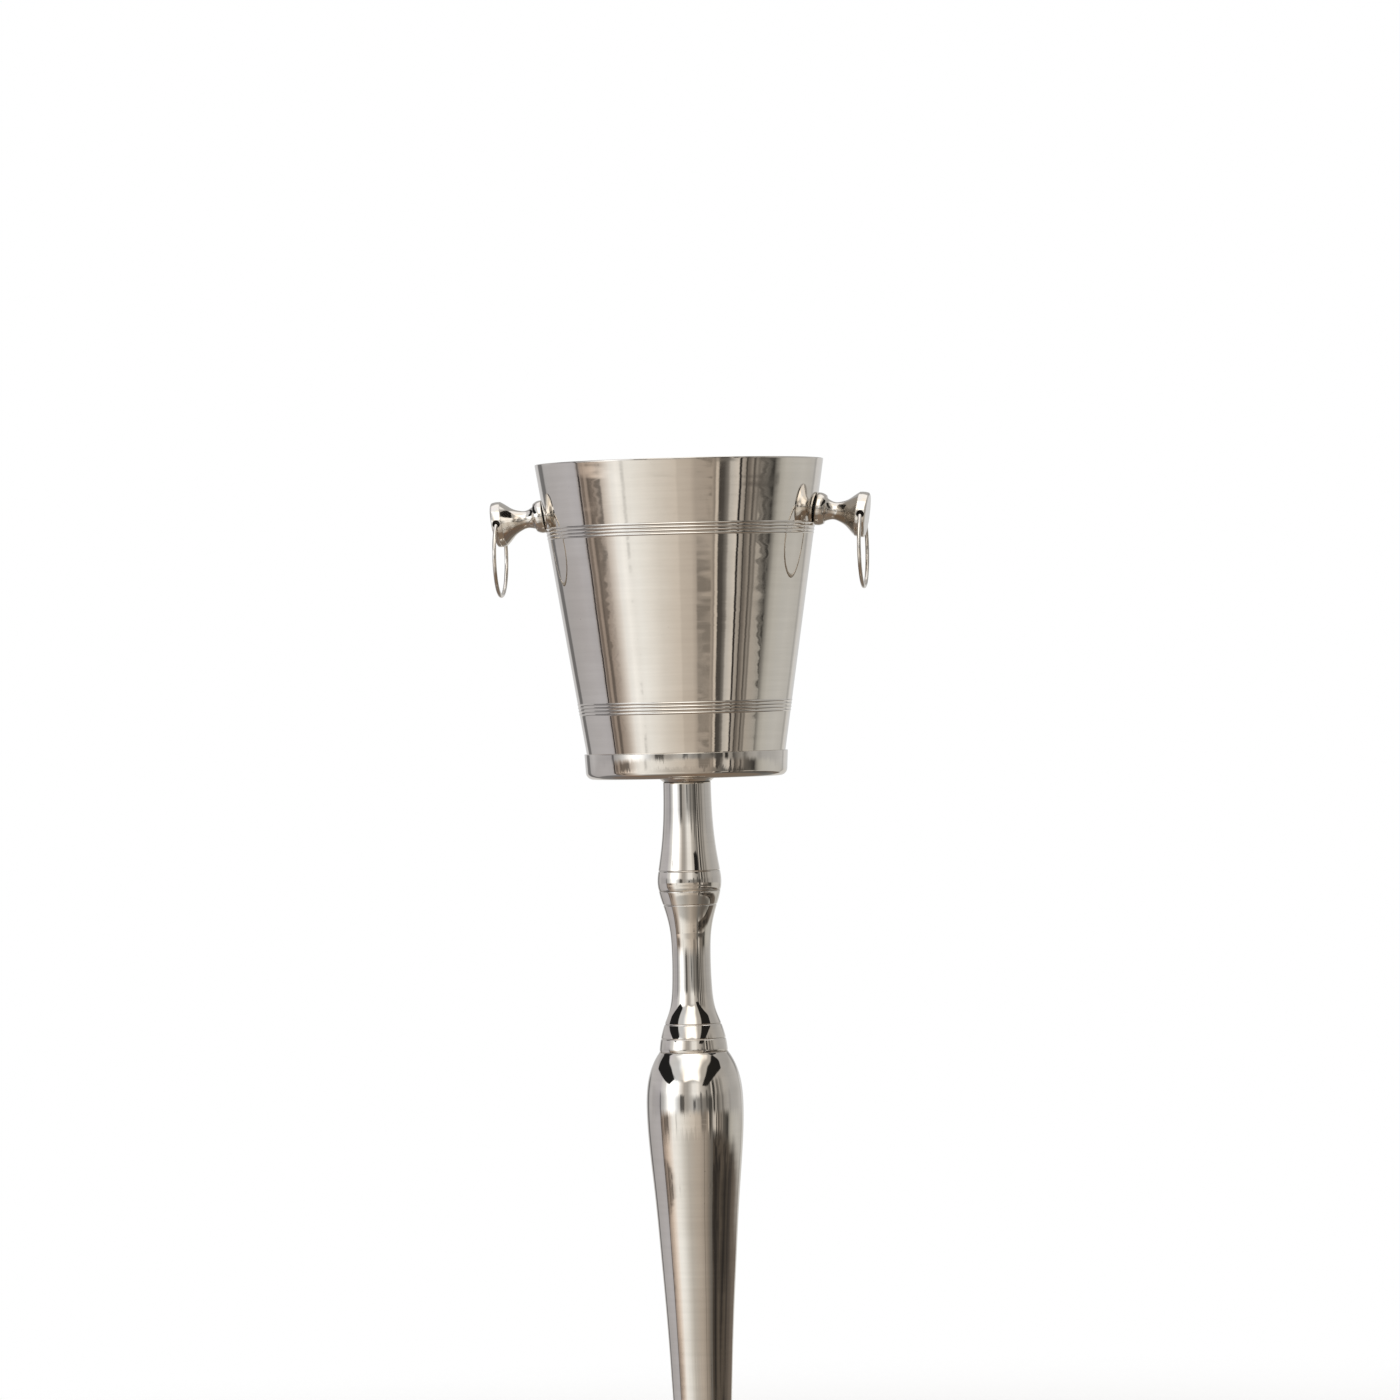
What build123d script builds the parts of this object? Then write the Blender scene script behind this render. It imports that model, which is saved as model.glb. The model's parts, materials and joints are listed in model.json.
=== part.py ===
from build123d import *
import math
import os

# Champagne bucket stand: a spun bucket with two swinging ring handles, bolted on a hollow turned column
# that stands on a weighted round foot. One tie rod runs from the foot up into the bucket and clamps it all.
# Millimetres, +Z up, origin on the floor under the centre of the foot. The handles lie along +X and -X,
# and each ring swings about an axis along Y.

os.makedirs("parts", exist_ok=True)

# Bucket
BUCKET_Z = 745.0  # underside of the bucket, above the floor
BUCKET_HEIGHT = 275.0
RIM_RADIUS = 125.9  # outside, at the rim
WALL_SLOPE = 0.1552  # the wall leans out by this much for each unit of height
SHEET = 1.2  # thickness of the spun sheet, square to its face
SHELL_CORNER = 7.0  # outside radius between the bucket's floor and its wall
BEAD_PITCH = 2.9
BEAD_WIDTH = 1.5
BEAD_PROUD = 0.4
BEADS_IN_BAND = 4
BAND_TOPS = (65.3, 219.0)  # the highest bead of each band, above the bucket's underside

# Base pan: the shallow cup lapped round the bucket's lower edge
PAN_HEIGHT = 22.0
PAN_FOOT_RADIUS = 87.45
PAN_TOP_RADIUS = 88.7
PAN_CORNER = 6.3
PAN_LAP = 7.0  # height of the band at its top that lies against the wall
LAP_GAP = 0.05

# Column: each casting is turned outside and bored inside
TOP_OF_STEM = 740.9
UPPER_JOINT_Z = 646.2
MIDDLE_JOINT_Z = 505.7
LOWER_JOINT_Z = 110.0
FOOT_JOINT_Z = 60.0
JOINT_CHAMFER = 0.6
LINE_RADIUS = 0.6  # round-nosed tool that engraves the fine lines
LINE_DEPTH = 0.45
BUSH_RADIUS = 13.95
BUSH_SEAT_RADIUS = 14.0
BUSH_SEAT_DEPTH = 8.0
BUSH_HALF_LENGTH = 7.9
NARROW_BORE = 12.5

# Collar between the column and the bucket
COLLAR_RADIUS = 24.0
COLLAR_FOOT_RADIUS = 21.0
COLLAR_HEIGHT = 3.5
GASKET_THICK = BUCKET_Z - COLLAR_HEIGHT - TOP_OF_STEM
SPIGOT_RADIUS = 12.0
SPIGOT_SEAT_RADIUS = 12.05
SPIGOT_LENGTH = 8.0
OUTER_SEAL_SEAT = 16.0  # radius of the recess in the collar's top face
OUTER_SEAL_THICK = 1.0

# Tie rod and its fastenings, M10
ROD_RADIUS = 5.0
ROD_FIT_RADIUS = 5.05  # bore of the nuts
ROD_CLEAR = 5.25  # bore of all that the rod passes through
ROD_FOOT_Z = 5.2
M10_FLATS = 17.0
M10_NUT_HEIGHT = 8.0
SEAL_THICK = 2.0
CLAMP_WASHER_RADIUS = 20.0
CLAMP_WASHER_THICK = 2.5
DOME_NUT_HEX_HEIGHT = 9.0
DOME_NUT_HEIGHT = 19.0
DOME_RADIUS = 7.9
WASHER_THICK = 2.0
SPRING_WASHER_THICK = 2.4

# Foot
FOOT_RADIUS = 145.0
PAD_HEIGHT = 3.0
BALLAST_RADIUS = 104.0
BALLAST_LOW_Z = 5.0
BALLAST_LEDGE_Z = 22.5
BALLAST_CROWN_Z = 27.0
BALLAST_RECESS_Z = 18.0
COVER_RADIUS = 136.4
COVER_THICK = 1.2
COVER_SCREW_CIRCLE = 75.0
COVER_SCREWS = 3

# Ring handles
KNOB_Z = BUCKET_Z + 231.0  # where a knob's axis meets the outside of the wall
KNOB_STAND_OFF = 0.5
KNOB_LENGTH = 45.5  # from the wall to the end face
FLANGE_RADIUS = 19.8
FLANGE_START = 36.5
HINGE_REACH = 40.9  # along the knob's axis, from the wall to the ring's axis
HINGE_DROP = 1.0  # the ring hangs this far under the knob's axis
MOUTH_RADIUS = 3.1
MOUTH_DEPTH = 4.0
MOUTH_SOFTENING = 0.6
HINGE_BORE = 1.75
HINGE_BORE_FOOT = 11.0  # how near the blind bores come to the knob's axis
RING_WIRE = 1.7
RING_RADIUS = 34.0  # to the middle of the wire
RING_DROP = 27.5  # from the ring's swinging axis down to its centre
RING_BEND = 4.0  # radius of the bend from the ring into each end
RING_END = 12.0  # how near the wire's ends come to the knob's axis
SCREW_RADIUS = 2.45  # M5
SCREW_BORE = 2.5
SCREW_CLEAR = 2.75
SCREW_DEPTH = 13.0
SCREW_HEAD_RADIUS = 4.8
SCREW_HEAD_HEIGHT = 3.2
SCREW_SOCKET_RADIUS = 1.7
KNOB_WASHER_RADIUS = 8.0
KNOB_WASHER_THICK = 1.2
KNOB_WASHER_GAP = 0.3  # a flat washer bridges the hollow of the wall
KNOB_SEAL_RADIUS = 11.0

WALL_ANGLE = math.atan(WALL_SLOPE)
SHEET_ACROSS = SHEET / math.cos(WALL_ANGLE)  # the sheet's thickness measured level
RIM_Z = BUCKET_Z + BUCKET_HEIGHT
SHELL_FLOOR_Z = BUCKET_Z + SHEET
FLOOR_TOP_Z = SHELL_FLOOR_Z + SHEET
CLAMP_WASHER_Z = FLOOR_TOP_Z + SEAL_THICK
DOME_NUT_Z = CLAMP_WASHER_Z + CLAMP_WASHER_THICK
ROD_TOP_Z = DOME_NUT_Z + 12.0


def at(radius, z):
    """A point of a turned outline."""
    return Vector(radius, 0, z)


def points(*pairs):
    """The points of a turned outline, from (radius, height) pairs."""
    return [at(radius, z) for radius, z in pairs]


def turned(*lines):
    """The solid that a closed outline makes when it is spun about Z.
    Where one line ends away from the next one's start, a straight edge joins them."""
    edges = []
    for line, following in zip(lines, lines[1:] + lines[:1]):
        edges += line.edges()
        if (line @ 1 - following @ 0).length > 1e-6:
            edges += Line(line @ 1, following @ 0).edges()
    return revolve(Face(Wire(edges)), Axis.Z)


def disc(outer, inner, low, high):
    """A flat round washer or disc between two heights."""
    return turned(Polyline(*points((inner, low), (outer, low), (outer, high), (inner, high))))


def wall_radius(z):
    """Outside radius of the bucket's wall at a height."""
    return RIM_RADIUS - WALL_SLOPE * (RIM_Z - z)


def engraved(piece, radius, z):
    """The piece with one fine line cut round it where its surface has that radius."""
    return piece - Pos(0, 0, z) * Torus(radius + LINE_RADIUS - LINE_DEPTH, LINE_RADIUS)


# ---- Bucket ----


def bead_heights():
    """Heights of the fine raised beads, from the lowest up."""
    heights = [BUCKET_Z + top - BEAD_PITCH * i for top in BAND_TOPS for i in range(BEADS_IN_BAND)]
    return sorted(heights)


def beaded_wall(low_z, high_z):
    """The outside line of the bucket's wall, which swells over each bead."""
    edges = []
    start = at(wall_radius(low_z), low_z)
    for z in bead_heights():
        foot = at(wall_radius(z - BEAD_WIDTH / 2), z - BEAD_WIDTH / 2)
        crest = at(wall_radius(z) + BEAD_PROUD, z)
        head = at(wall_radius(z + BEAD_WIDTH / 2), z + BEAD_WIDTH / 2)
        edges.append(Line(start, foot))
        edges.append(ThreePointArc(foot, crest, head))
        start = head
    edges.append(Line(start, at(wall_radius(high_z), high_z)))
    return edges


def bucket_shell():
    wall_start_z = SHELL_FLOOR_Z + 2 * SHELL_CORNER
    rim_start_z = RIM_Z - SHEET / 2
    outer_rim = at(wall_radius(rim_start_z), rim_start_z)
    inner_rim = at(wall_radius(rim_start_z) - SHEET_ACROSS, rim_start_z)
    foot = FilletPolyline(
        at(ROD_CLEAR, SHELL_FLOOR_Z),
        at(wall_radius(SHELL_FLOOR_Z), SHELL_FLOOR_Z),
        at(wall_radius(wall_start_z), wall_start_z),
        radius=SHELL_CORNER,
    )
    rim = ThreePointArc(outer_rim, at(wall_radius(RIM_Z) - SHEET_ACROSS / 2, RIM_Z), inner_rim)
    inside = FilletPolyline(
        inner_rim,
        at(wall_radius(FLOOR_TOP_Z) - SHEET_ACROSS, FLOOR_TOP_Z),
        at(ROD_CLEAR, FLOOR_TOP_Z),
        radius=SHELL_CORNER - SHEET,
    )
    shell = turned(foot, *beaded_wall(wall_start_z, rim_start_z), rim, inside)
    for side in (1, -1):
        shell -= knob_place(side) * Cylinder(SCREW_CLEAR, 12)
    return shell


def bucket_base_pan():
    top = BUCKET_Z + PAN_HEIGHT
    lap_foot = top - PAN_LAP
    outside = FilletPolyline(
        at(ROD_CLEAR, BUCKET_Z),
        at(PAN_FOOT_RADIUS, BUCKET_Z),
        at(PAN_TOP_RADIUS, top),
        at(wall_radius(top) + LAP_GAP, top),
        radius=[PAN_CORNER, SHEET / 2],
    )
    inside = FilletPolyline(
        at(wall_radius(lap_foot) + LAP_GAP, lap_foot),
        at(PAN_TOP_RADIUS - SHEET - 0.4, lap_foot - 1.5),
        at(PAN_FOOT_RADIUS - SHEET, BUCKET_Z + SHEET),
        at(ROD_CLEAR, BUCKET_Z + SHEET),
        radius=[0.5, PAN_CORNER - SHEET],
    )
    return turned(outside, inside)


def seat_collar():
    """The small collar that spreads the bucket's load on the column. It holds a seal in its top face."""
    foot_z = BUCKET_Z - COLLAR_HEIGHT
    side = Spline(
        at(COLLAR_RADIUS, BUCKET_Z - 0.8),
        at(COLLAR_RADIUS - 1.6, BUCKET_Z - 2.2),
        at(COLLAR_FOOT_RADIUS, foot_z),
    )
    spigot_end_z = foot_z - SPIGOT_LENGTH
    seat_z = BUCKET_Z - OUTER_SEAL_THICK
    spigot = Polyline(*points((SPIGOT_RADIUS, foot_z), (SPIGOT_RADIUS, spigot_end_z)))
    bore = Polyline(*points((ROD_CLEAR, spigot_end_z), (ROD_CLEAR, seat_z), (OUTER_SEAL_SEAT, seat_z)))
    top = Polyline(*points((OUTER_SEAL_SEAT, BUCKET_Z), (COLLAR_RADIUS, BUCKET_Z)))
    return turned(side, spigot, bore, top)


def hexagon(low, height):
    """An upright M10 hexagon with its corners rounded off at both ends, as on a turned nut."""
    corner_radius = M10_FLATS / math.sqrt(3)
    prism = Pos(0, 0, low) * extrude(RegularPolygon(corner_radius, 6), height)
    ease = 0.8
    blank = turned(
        Polyline(
            *points(
                (0, low),
                (corner_radius - ease, low),
                (corner_radius + 0.1, low + ease),
                (corner_radius + 0.1, low + height - ease),
                (corner_radius - ease, low + height),
                (0, low + height),
            )
        )
    )
    return prism & blank


def bucket_dome_nut():
    neck_z = DOME_NUT_Z + DOME_NUT_HEX_HEIGHT
    spring_z = DOME_NUT_Z + DOME_NUT_HEIGHT - DOME_RADIUS
    dome = turned(
        Polyline(*points((0, neck_z - 2), (DOME_RADIUS, neck_z - 2), (DOME_RADIUS, spring_z))),
        ThreePointArc(
            at(DOME_RADIUS, spring_z),
            at(DOME_RADIUS * math.sqrt(0.5), spring_z + DOME_RADIUS * math.sqrt(0.5)),
            at(0, spring_z + DOME_RADIUS),
        ),
    )
    bore = disc(ROD_FIT_RADIUS, 0, DOME_NUT_Z, ROD_TOP_Z + 1)
    return hexagon(DOME_NUT_Z, DOME_NUT_HEX_HEIGHT) + dome - bore


# ---- Ring handles: side is 1 for the handle along +X and -1 for the one along -X ----


def knob_direction(side):
    """A knob stands square to the leaning wall, so it points a little down."""
    return Vector(side * math.cos(WALL_ANGLE), 0, -math.sin(WALL_ANGLE))


def knob_place(side):
    """Where a knob starts: on the outside of the wall, with local Z along the knob."""
    start = Vector(side * wall_radius(KNOB_Z), 0, KNOB_Z)
    return Plane(origin=start, x_dir=(0, 1, 0), z_dir=knob_direction(side)).location


def hinge_point(side):
    """The middle of a ring's swinging axis."""
    start = Vector(side * wall_radius(KNOB_Z), 0, KNOB_Z)
    return start + knob_direction(side) * HINGE_REACH - Vector(0, 0, HINGE_DROP)


def across(point, radius, near, far):
    """Two round bars along Y, one each side of a point, from a near to a far distance."""
    length = far - near
    middle = (far + near) / 2
    bars = [
        Pos(point.X, point.Y + way * middle, point.Z) * Rot(90, 0, 0) * Cylinder(radius, length)
        for way in (1, -1)
    ]
    return bars[0] + bars[1]


def knob(side):
    """A turned spool: a foot against the wall, a slim waist, and a broad flange that the ring hangs in."""
    foot = Polyline(*points((0, KNOB_STAND_OFF), (13.8, KNOB_STAND_OFF), (14.3, 1.0), (14.3, 3.2)))
    shoulder = Spline(
        at(14.3, 3.2),
        at(13.7, 6.0),
        at(12.3, 8.6),
        tangents=[(0, 0, 1), (-0.6, 0, 0.8)],
    )
    waist = Spline(
        *points(
            (10.9, 8.6),
            (8.5, 12.6),
            (7.6, 16.8),
            (8.6, 21.4),
            (11.5, 27.5),
            (16.0, 32.8),
            (19.0, FLANGE_START),
        ),
        tangents=[(-0.75, 0, 0.66), (0.6, 0, 0.8)],
    )
    face_rim = 1.2
    flange = Polyline(*points((FLANGE_RADIUS, FLANGE_START + 0.6), (FLANGE_RADIUS, KNOB_LENGTH - face_rim)))
    face = ThreePointArc(
        at(FLANGE_RADIUS, KNOB_LENGTH - face_rim),
        at(FLANGE_RADIUS - face_rim * (1 - math.sqrt(0.5)), KNOB_LENGTH - face_rim * (1 - math.sqrt(0.5))),
        at(FLANGE_RADIUS - face_rim, KNOB_LENGTH),
    )
    axis_end = Line(at(FLANGE_RADIUS - face_rim, KNOB_LENGTH), at(0, KNOB_LENGTH))
    body = turned(foot, shoulder, waist, flange, face, axis_end)
    body -= Pos(0, 0, 8) * Cylinder(SCREW_BORE, 15)
    body = knob_place(side) * body
    point = hinge_point(side)
    mouth_point = point + Vector(0, 0, HINGE_DROP)
    mouth_foot = FLANGE_RADIUS - MOUTH_DEPTH
    body -= across(point, HINGE_BORE, HINGE_BORE_FOOT, FLANGE_RADIUS)
    body -= across(mouth_point, MOUTH_RADIUS, mouth_foot, FLANGE_RADIUS + 2)
    for way in (1, -1):
        cone_height = 2 * MOUTH_SOFTENING
        cone = Cone(MOUTH_RADIUS, MOUTH_RADIUS + cone_height, cone_height)
        lip_y = way * (FLANGE_RADIUS - MOUTH_SOFTENING + cone_height / 2)
        body -= Pos(mouth_point.X, lip_y, mouth_point.Z) * Rot(-90 * way, 0, 0) * cone
    return body


def ring(side):
    """A round wire ring whose two ends turn in towards each other and lie in the knob's bores."""
    point = hinge_point(side)
    bend_y = math.sqrt((RING_RADIUS - RING_BEND) ** 2 - (RING_DROP - RING_BEND) ** 2)
    bend_angle = math.atan2(RING_DROP - RING_BEND, bend_y)
    half_angle = (bend_angle + math.pi / 2) / 2
    round_y = RING_RADIUS * math.cos(bend_angle)
    round_z = RING_RADIUS * math.sin(bend_angle) - RING_DROP

    def spot(y, z):
        return Vector(point.X, point.Y + y, point.Z + z)

    def bend_middle(way):
        return spot(
            way * (bend_y + RING_BEND * math.cos(half_angle)),
            RING_BEND * math.sin(half_angle) - RING_BEND,
        )

    path = Wire(
        [
            Line(spot(-RING_END, 0), spot(-bend_y, 0)).edge(),
            ThreePointArc(spot(-bend_y, 0), bend_middle(-1), spot(-round_y, round_z)).edge(),
            ThreePointArc(
                spot(-round_y, round_z), spot(0, -RING_DROP - RING_RADIUS), spot(round_y, round_z)
            ).edge(),
            ThreePointArc(spot(round_y, round_z), bend_middle(1), spot(bend_y, 0)).edge(),
            Line(spot(bend_y, 0), spot(RING_END, 0)).edge(),
        ]
    )
    section = Plane(origin=spot(-RING_END, 0), z_dir=(0, -1, 0)) * Circle(RING_WIRE)
    return sweep(section, path)


def knob_screw(side):
    """The M5 socket screw that holds a knob from inside the bucket."""
    seat = -(SHEET + KNOB_WASHER_GAP + KNOB_WASHER_THICK)
    head = FilletPolyline(
        *points(
            (SCREW_RADIUS, seat),
            (SCREW_HEAD_RADIUS, seat),
            (SCREW_HEAD_RADIUS, seat - SCREW_HEAD_HEIGHT),
            (SCREW_SOCKET_RADIUS, seat - SCREW_HEAD_HEIGHT),
        ),
        radius=[0.3, 1.2],
    )
    shank = Polyline(*points((0, SCREW_DEPTH), (SCREW_RADIUS, SCREW_DEPTH)))
    socket = Polyline(*points((SCREW_SOCKET_RADIUS, seat - 1.2), (0, seat - 1.2)))
    return knob_place(side) * turned(head, socket, shank)


def knob_washer(side):
    high = -(SHEET + KNOB_WASHER_GAP)
    return knob_place(side) * disc(KNOB_WASHER_RADIUS, SCREW_CLEAR, high - KNOB_WASHER_THICK, high)


def knob_seal(side):
    """A thin rubber washer that fills the gap between the flat knob and the round wall."""
    blank = knob_place(side) * disc(KNOB_SEAL_RADIUS, SCREW_CLEAR, -0.8, KNOB_STAND_OFF)
    low = KNOB_Z - 2 * KNOB_SEAL_RADIUS
    high = KNOB_Z + 2 * KNOB_SEAL_RADIUS
    core = turned(Polyline(*points((0, low), (wall_radius(low), low), (wall_radius(high), high), (0, high))))
    return blank - core


# ---- Column ----


def bush_seats(top, bottom):
    """A straight bore between two wider seats for the joint bushes."""
    return Polyline(
        *points(
            (BUSH_SEAT_RADIUS, bottom),
            (BUSH_SEAT_RADIUS, bottom + BUSH_SEAT_DEPTH),
            (NARROW_BORE, bottom + BUSH_SEAT_DEPTH),
            (NARROW_BORE, top - BUSH_SEAT_DEPTH),
            (BUSH_SEAT_RADIUS, top - BUSH_SEAT_DEPTH),
            (BUSH_SEAT_RADIUS, top),
        )
    )


def eased_end(radius, z, way):
    """A small chamfer at a casting's end. way is 1 at its top end and -1 at its bottom end."""
    tip = at(radius - JOINT_CHAMFER, z)
    side = at(radius, z - way * JOINT_CHAMFER)
    return Line(tip, side) if way > 0 else Line(side, tip)


def upper_stem():
    outside = Spline(
        *points(
            (20.8, TOP_OF_STEM - JOINT_CHAMFER),
            (21.9, 703.2),
            (24.2, 681.0),
            (26.9, 663.6),
            (27.8, 655.2),
            (26.9, UPPER_JOINT_Z + JOINT_CHAMFER),
        ),
        tangents=[(0, 0, -1), (-0.24, 0, -1)],
    )
    bore = Polyline(
        *points(
            (BUSH_SEAT_RADIUS, UPPER_JOINT_Z),
            (BUSH_SEAT_RADIUS, UPPER_JOINT_Z + BUSH_SEAT_DEPTH),
            (22.0, 656.0),
            (22.0, 664.0),
            (18.0, 690.0),
            (16.8, 727.0),
            (SPIGOT_SEAT_RADIUS, 731.0),
            (SPIGOT_SEAT_RADIUS, TOP_OF_STEM),
        )
    )
    stem = turned(
        eased_end(20.8, TOP_OF_STEM, 1), outside, eased_end(26.9, UPPER_JOINT_Z, -1), bore
    )
    return engraved(stem, 26.9, 663.6)


def middle_stem():
    outside = Spline(
        *points(
            (26.7, UPPER_JOINT_Z - JOINT_CHAMFER),
            (23.3, 633.5),
            (18.1, 612.0),
            (16.9, 594.0),
            (17.3, 564.0),
            (20.4, 541.5),
            (24.9, 529.5),
            (28.3, 517.5),
            (29.8, MIDDLE_JOINT_Z + JOINT_CHAMFER),
        ),
        tangents=[(-0.17, 0, -1), (0.07, 0, -1)],
    )
    stem = turned(
        eased_end(26.7, UPPER_JOINT_Z, 1),
        outside,
        eased_end(29.8, MIDDLE_JOINT_Z, -1),
        bush_seats(UPPER_JOINT_Z, MIDDLE_JOINT_Z),
    )
    for radius, z in ((23.4, 634.0), (24.7, 530.0), (28.3, 517.5)):
        stem = engraved(stem, radius, z)
    return stem


def baluster():
    outside = Spline(
        *points(
            (30.3, MIDDLE_JOINT_Z - JOINT_CHAMFER),
            (36.2, 494.6),
            (40.4, 480.5),
            (42.2, 454.0),
            (40.4, 420.0),
            (36.3, 374.0),
            (33.1, 330.0),
            (30.2, 288.0),
            (27.6, 243.0),
            (25.5, 198.0),
            (23.9, 160.0),
            (24.6, 138.0),
            (26.8, 121.0),
            (26.0, LOWER_JOINT_Z + JOINT_CHAMFER),
        ),
        tangents=[(0.72, 0, -1), (-0.2, 0, -1)],
    )
    bore = Polyline(
        *points(
            (BUSH_SEAT_RADIUS, LOWER_JOINT_Z),
            (BUSH_SEAT_RADIUS, LOWER_JOINT_Z + BUSH_SEAT_DEPTH),
            (NARROW_BORE, LOWER_JOINT_Z + BUSH_SEAT_DEPTH),
            (NARROW_BORE, 128.0),
            (18.5, 134.0),
            (18.8, 158.0),
            (21.8, 207.0),
            (26.4, 295.0),
            (32.2, 374.0),
            (36.2, 420.0),
            (38.0, 454.0),
            (36.0, 480.0),
            (28.0, 493.0),
            (BUSH_SEAT_RADIUS, 496.0),
            (BUSH_SEAT_RADIUS, MIDDLE_JOINT_Z),
        )
    )
    body = turned(
        eased_end(30.3, MIDDLE_JOINT_Z, 1), outside, eased_end(26.0, LOWER_JOINT_Z, -1), bore
    )
    return engraved(body, 26.3, 126.5)


def foot_neck():
    outside = Spline(
        *points(
            (25.8, LOWER_JOINT_Z - JOINT_CHAMFER),
            (22.6, 99.0),
            (18.8, 87.0),
            (19.4, 76.0),
            (24.4, 66.0),
            (31.4, FOOT_JOINT_Z + JOINT_CHAMFER),
        ),
        tangents=[(-0.2, 0, -1), (1, 0, -0.7)],
    )
    neck = turned(
        eased_end(25.8, LOWER_JOINT_Z, 1),
        outside,
        eased_end(31.4, FOOT_JOINT_Z, -1),
        bush_seats(LOWER_JOINT_Z, FOOT_JOINT_Z),
    )
    return engraved(neck, 22.6, 99.0)


def joint_bush(z):
    """The sleeve inside a joint that keeps two castings in line."""
    return disc(BUSH_RADIUS, ROD_CLEAR, z - BUSH_HALF_LENGTH, z + BUSH_HALF_LENGTH)


def tie_rod():
    return Pos(0, 0, (ROD_FOOT_Z + ROD_TOP_Z) / 2) * Cylinder(ROD_RADIUS, ROD_TOP_Z - ROD_FOOT_Z)


# ---- Foot ----


def foot_shell():
    dome = Spline(
        *points(
            (32.4, FOOT_JOINT_Z - JOINT_CHAMFER),
            (44.0, 51.0),
            (66.0, 43.0),
            (94.0, 34.5),
            (118.0, 24.0),
            (132.5, 14.5),
        ),
        tangents=[(1, 0, -0.8), (0.7, 0, -1)],
    )
    band = FilletPolyline(
        *points(
            (132.5, 14.5),
            (134.5, 13.4),
            (FOOT_RADIUS, 13.4),
            (FOOT_RADIUS, PAD_HEIGHT),
            (137.0, PAD_HEIGHT),
        ),
        radius=[0.9, 6.0, 1.2],
    )
    inside = Polyline(
        *points(
            (137.0, PAD_HEIGHT),
            (137.0, 9.5),
            (129.0, 9.5),
            (115.0, 20.5),
            (106.0, BALLAST_LEDGE_Z),
            (90.0, BALLAST_LEDGE_Z),
            (88.0, 31.0),
            (66.0, 38.5),
            (44.0, 46.0),
            (32.0, 50.0),
            (8.0, 50.0),
            (8.0, FOOT_JOINT_Z - BUSH_SEAT_DEPTH),
            (BUSH_SEAT_RADIUS, FOOT_JOINT_Z - BUSH_SEAT_DEPTH),
            (BUSH_SEAT_RADIUS, FOOT_JOINT_Z),
        )
    )
    return turned(eased_end(32.4, FOOT_JOINT_Z, 1), dome, band, inside)


def cover_screw_places():
    """The three screw places under the foot."""
    return PolarLocations(COVER_SCREW_CIRCLE, COVER_SCREWS)


def foot_ballast():
    """The heavy cast ring. Its raised middle is where the tie rod's nut pulls."""
    body = turned(
        Polyline(
            *points(
                (ROD_CLEAR, BALLAST_RECESS_Z),
                (40, BALLAST_RECESS_Z),
                (46, BALLAST_LOW_Z),
                (BALLAST_RADIUS, BALLAST_LOW_Z),
                (BALLAST_RADIUS, BALLAST_LEDGE_Z),
                (84, BALLAST_LEDGE_Z),
                (80, BALLAST_CROWN_Z),
                (ROD_CLEAR, BALLAST_CROWN_Z),
            )
        )
    )
    for place in cover_screw_places():
        body -= place * Pos(0, 0, BALLAST_LOW_Z) * Cylinder(2.05, 20)
    return body


def foot_cover():
    """The thin disc that closes the foot from below."""
    low = BALLAST_LOW_Z - COVER_THICK
    cover = Pos(0, 0, low) * extrude(Circle(COVER_RADIUS), COVER_THICK)
    for place in cover_screw_places():
        cover -= place * Cylinder(2.2, 20)
    return cover


def cover_screws():
    """Three M4 button-head screws, alike."""
    seat = BALLAST_LOW_Z - COVER_THICK
    head = FilletPolyline(
        *points((0, seat - 2.0), (3.8, seat - 2.0), (3.8, seat), (2.0, seat)),
        radius=[1.6, 0.1],
    )
    shank = Polyline(*points((2.0, seat), (2.0, 13.0), (0, 13.0)))
    screw = turned(head, shank)
    return Compound([place * screw for place in cover_screw_places()])


def floor_pad_ring():
    """The rubber ring that the foot stands on."""
    return turned(
        FilletPolyline(
            *points((137.2, PAD_HEIGHT), (137.2, 0), (143.4, 0), (143.4, PAD_HEIGHT)),
            radius=0.8,
        )
    )


def foot_nut():
    low = BALLAST_RECESS_Z - WASHER_THICK - SPRING_WASHER_THICK - M10_NUT_HEIGHT
    bore = Pos(0, 0, low) * Cylinder(ROD_FIT_RADIUS, 3 * M10_NUT_HEIGHT)
    return hexagon(low, M10_NUT_HEIGHT) - bore


def foot_spring_washer():
    """A split spring washer, pressed flat."""
    high = BALLAST_RECESS_Z - WASHER_THICK
    whole = disc(9.0, ROD_CLEAR, high - SPRING_WASHER_THICK, high)
    return whole - Pos(7, 0, high) * Box(6, 0.8, 4 * SPRING_WASHER_THICK)


# ---- The parts, by node name ----

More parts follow.
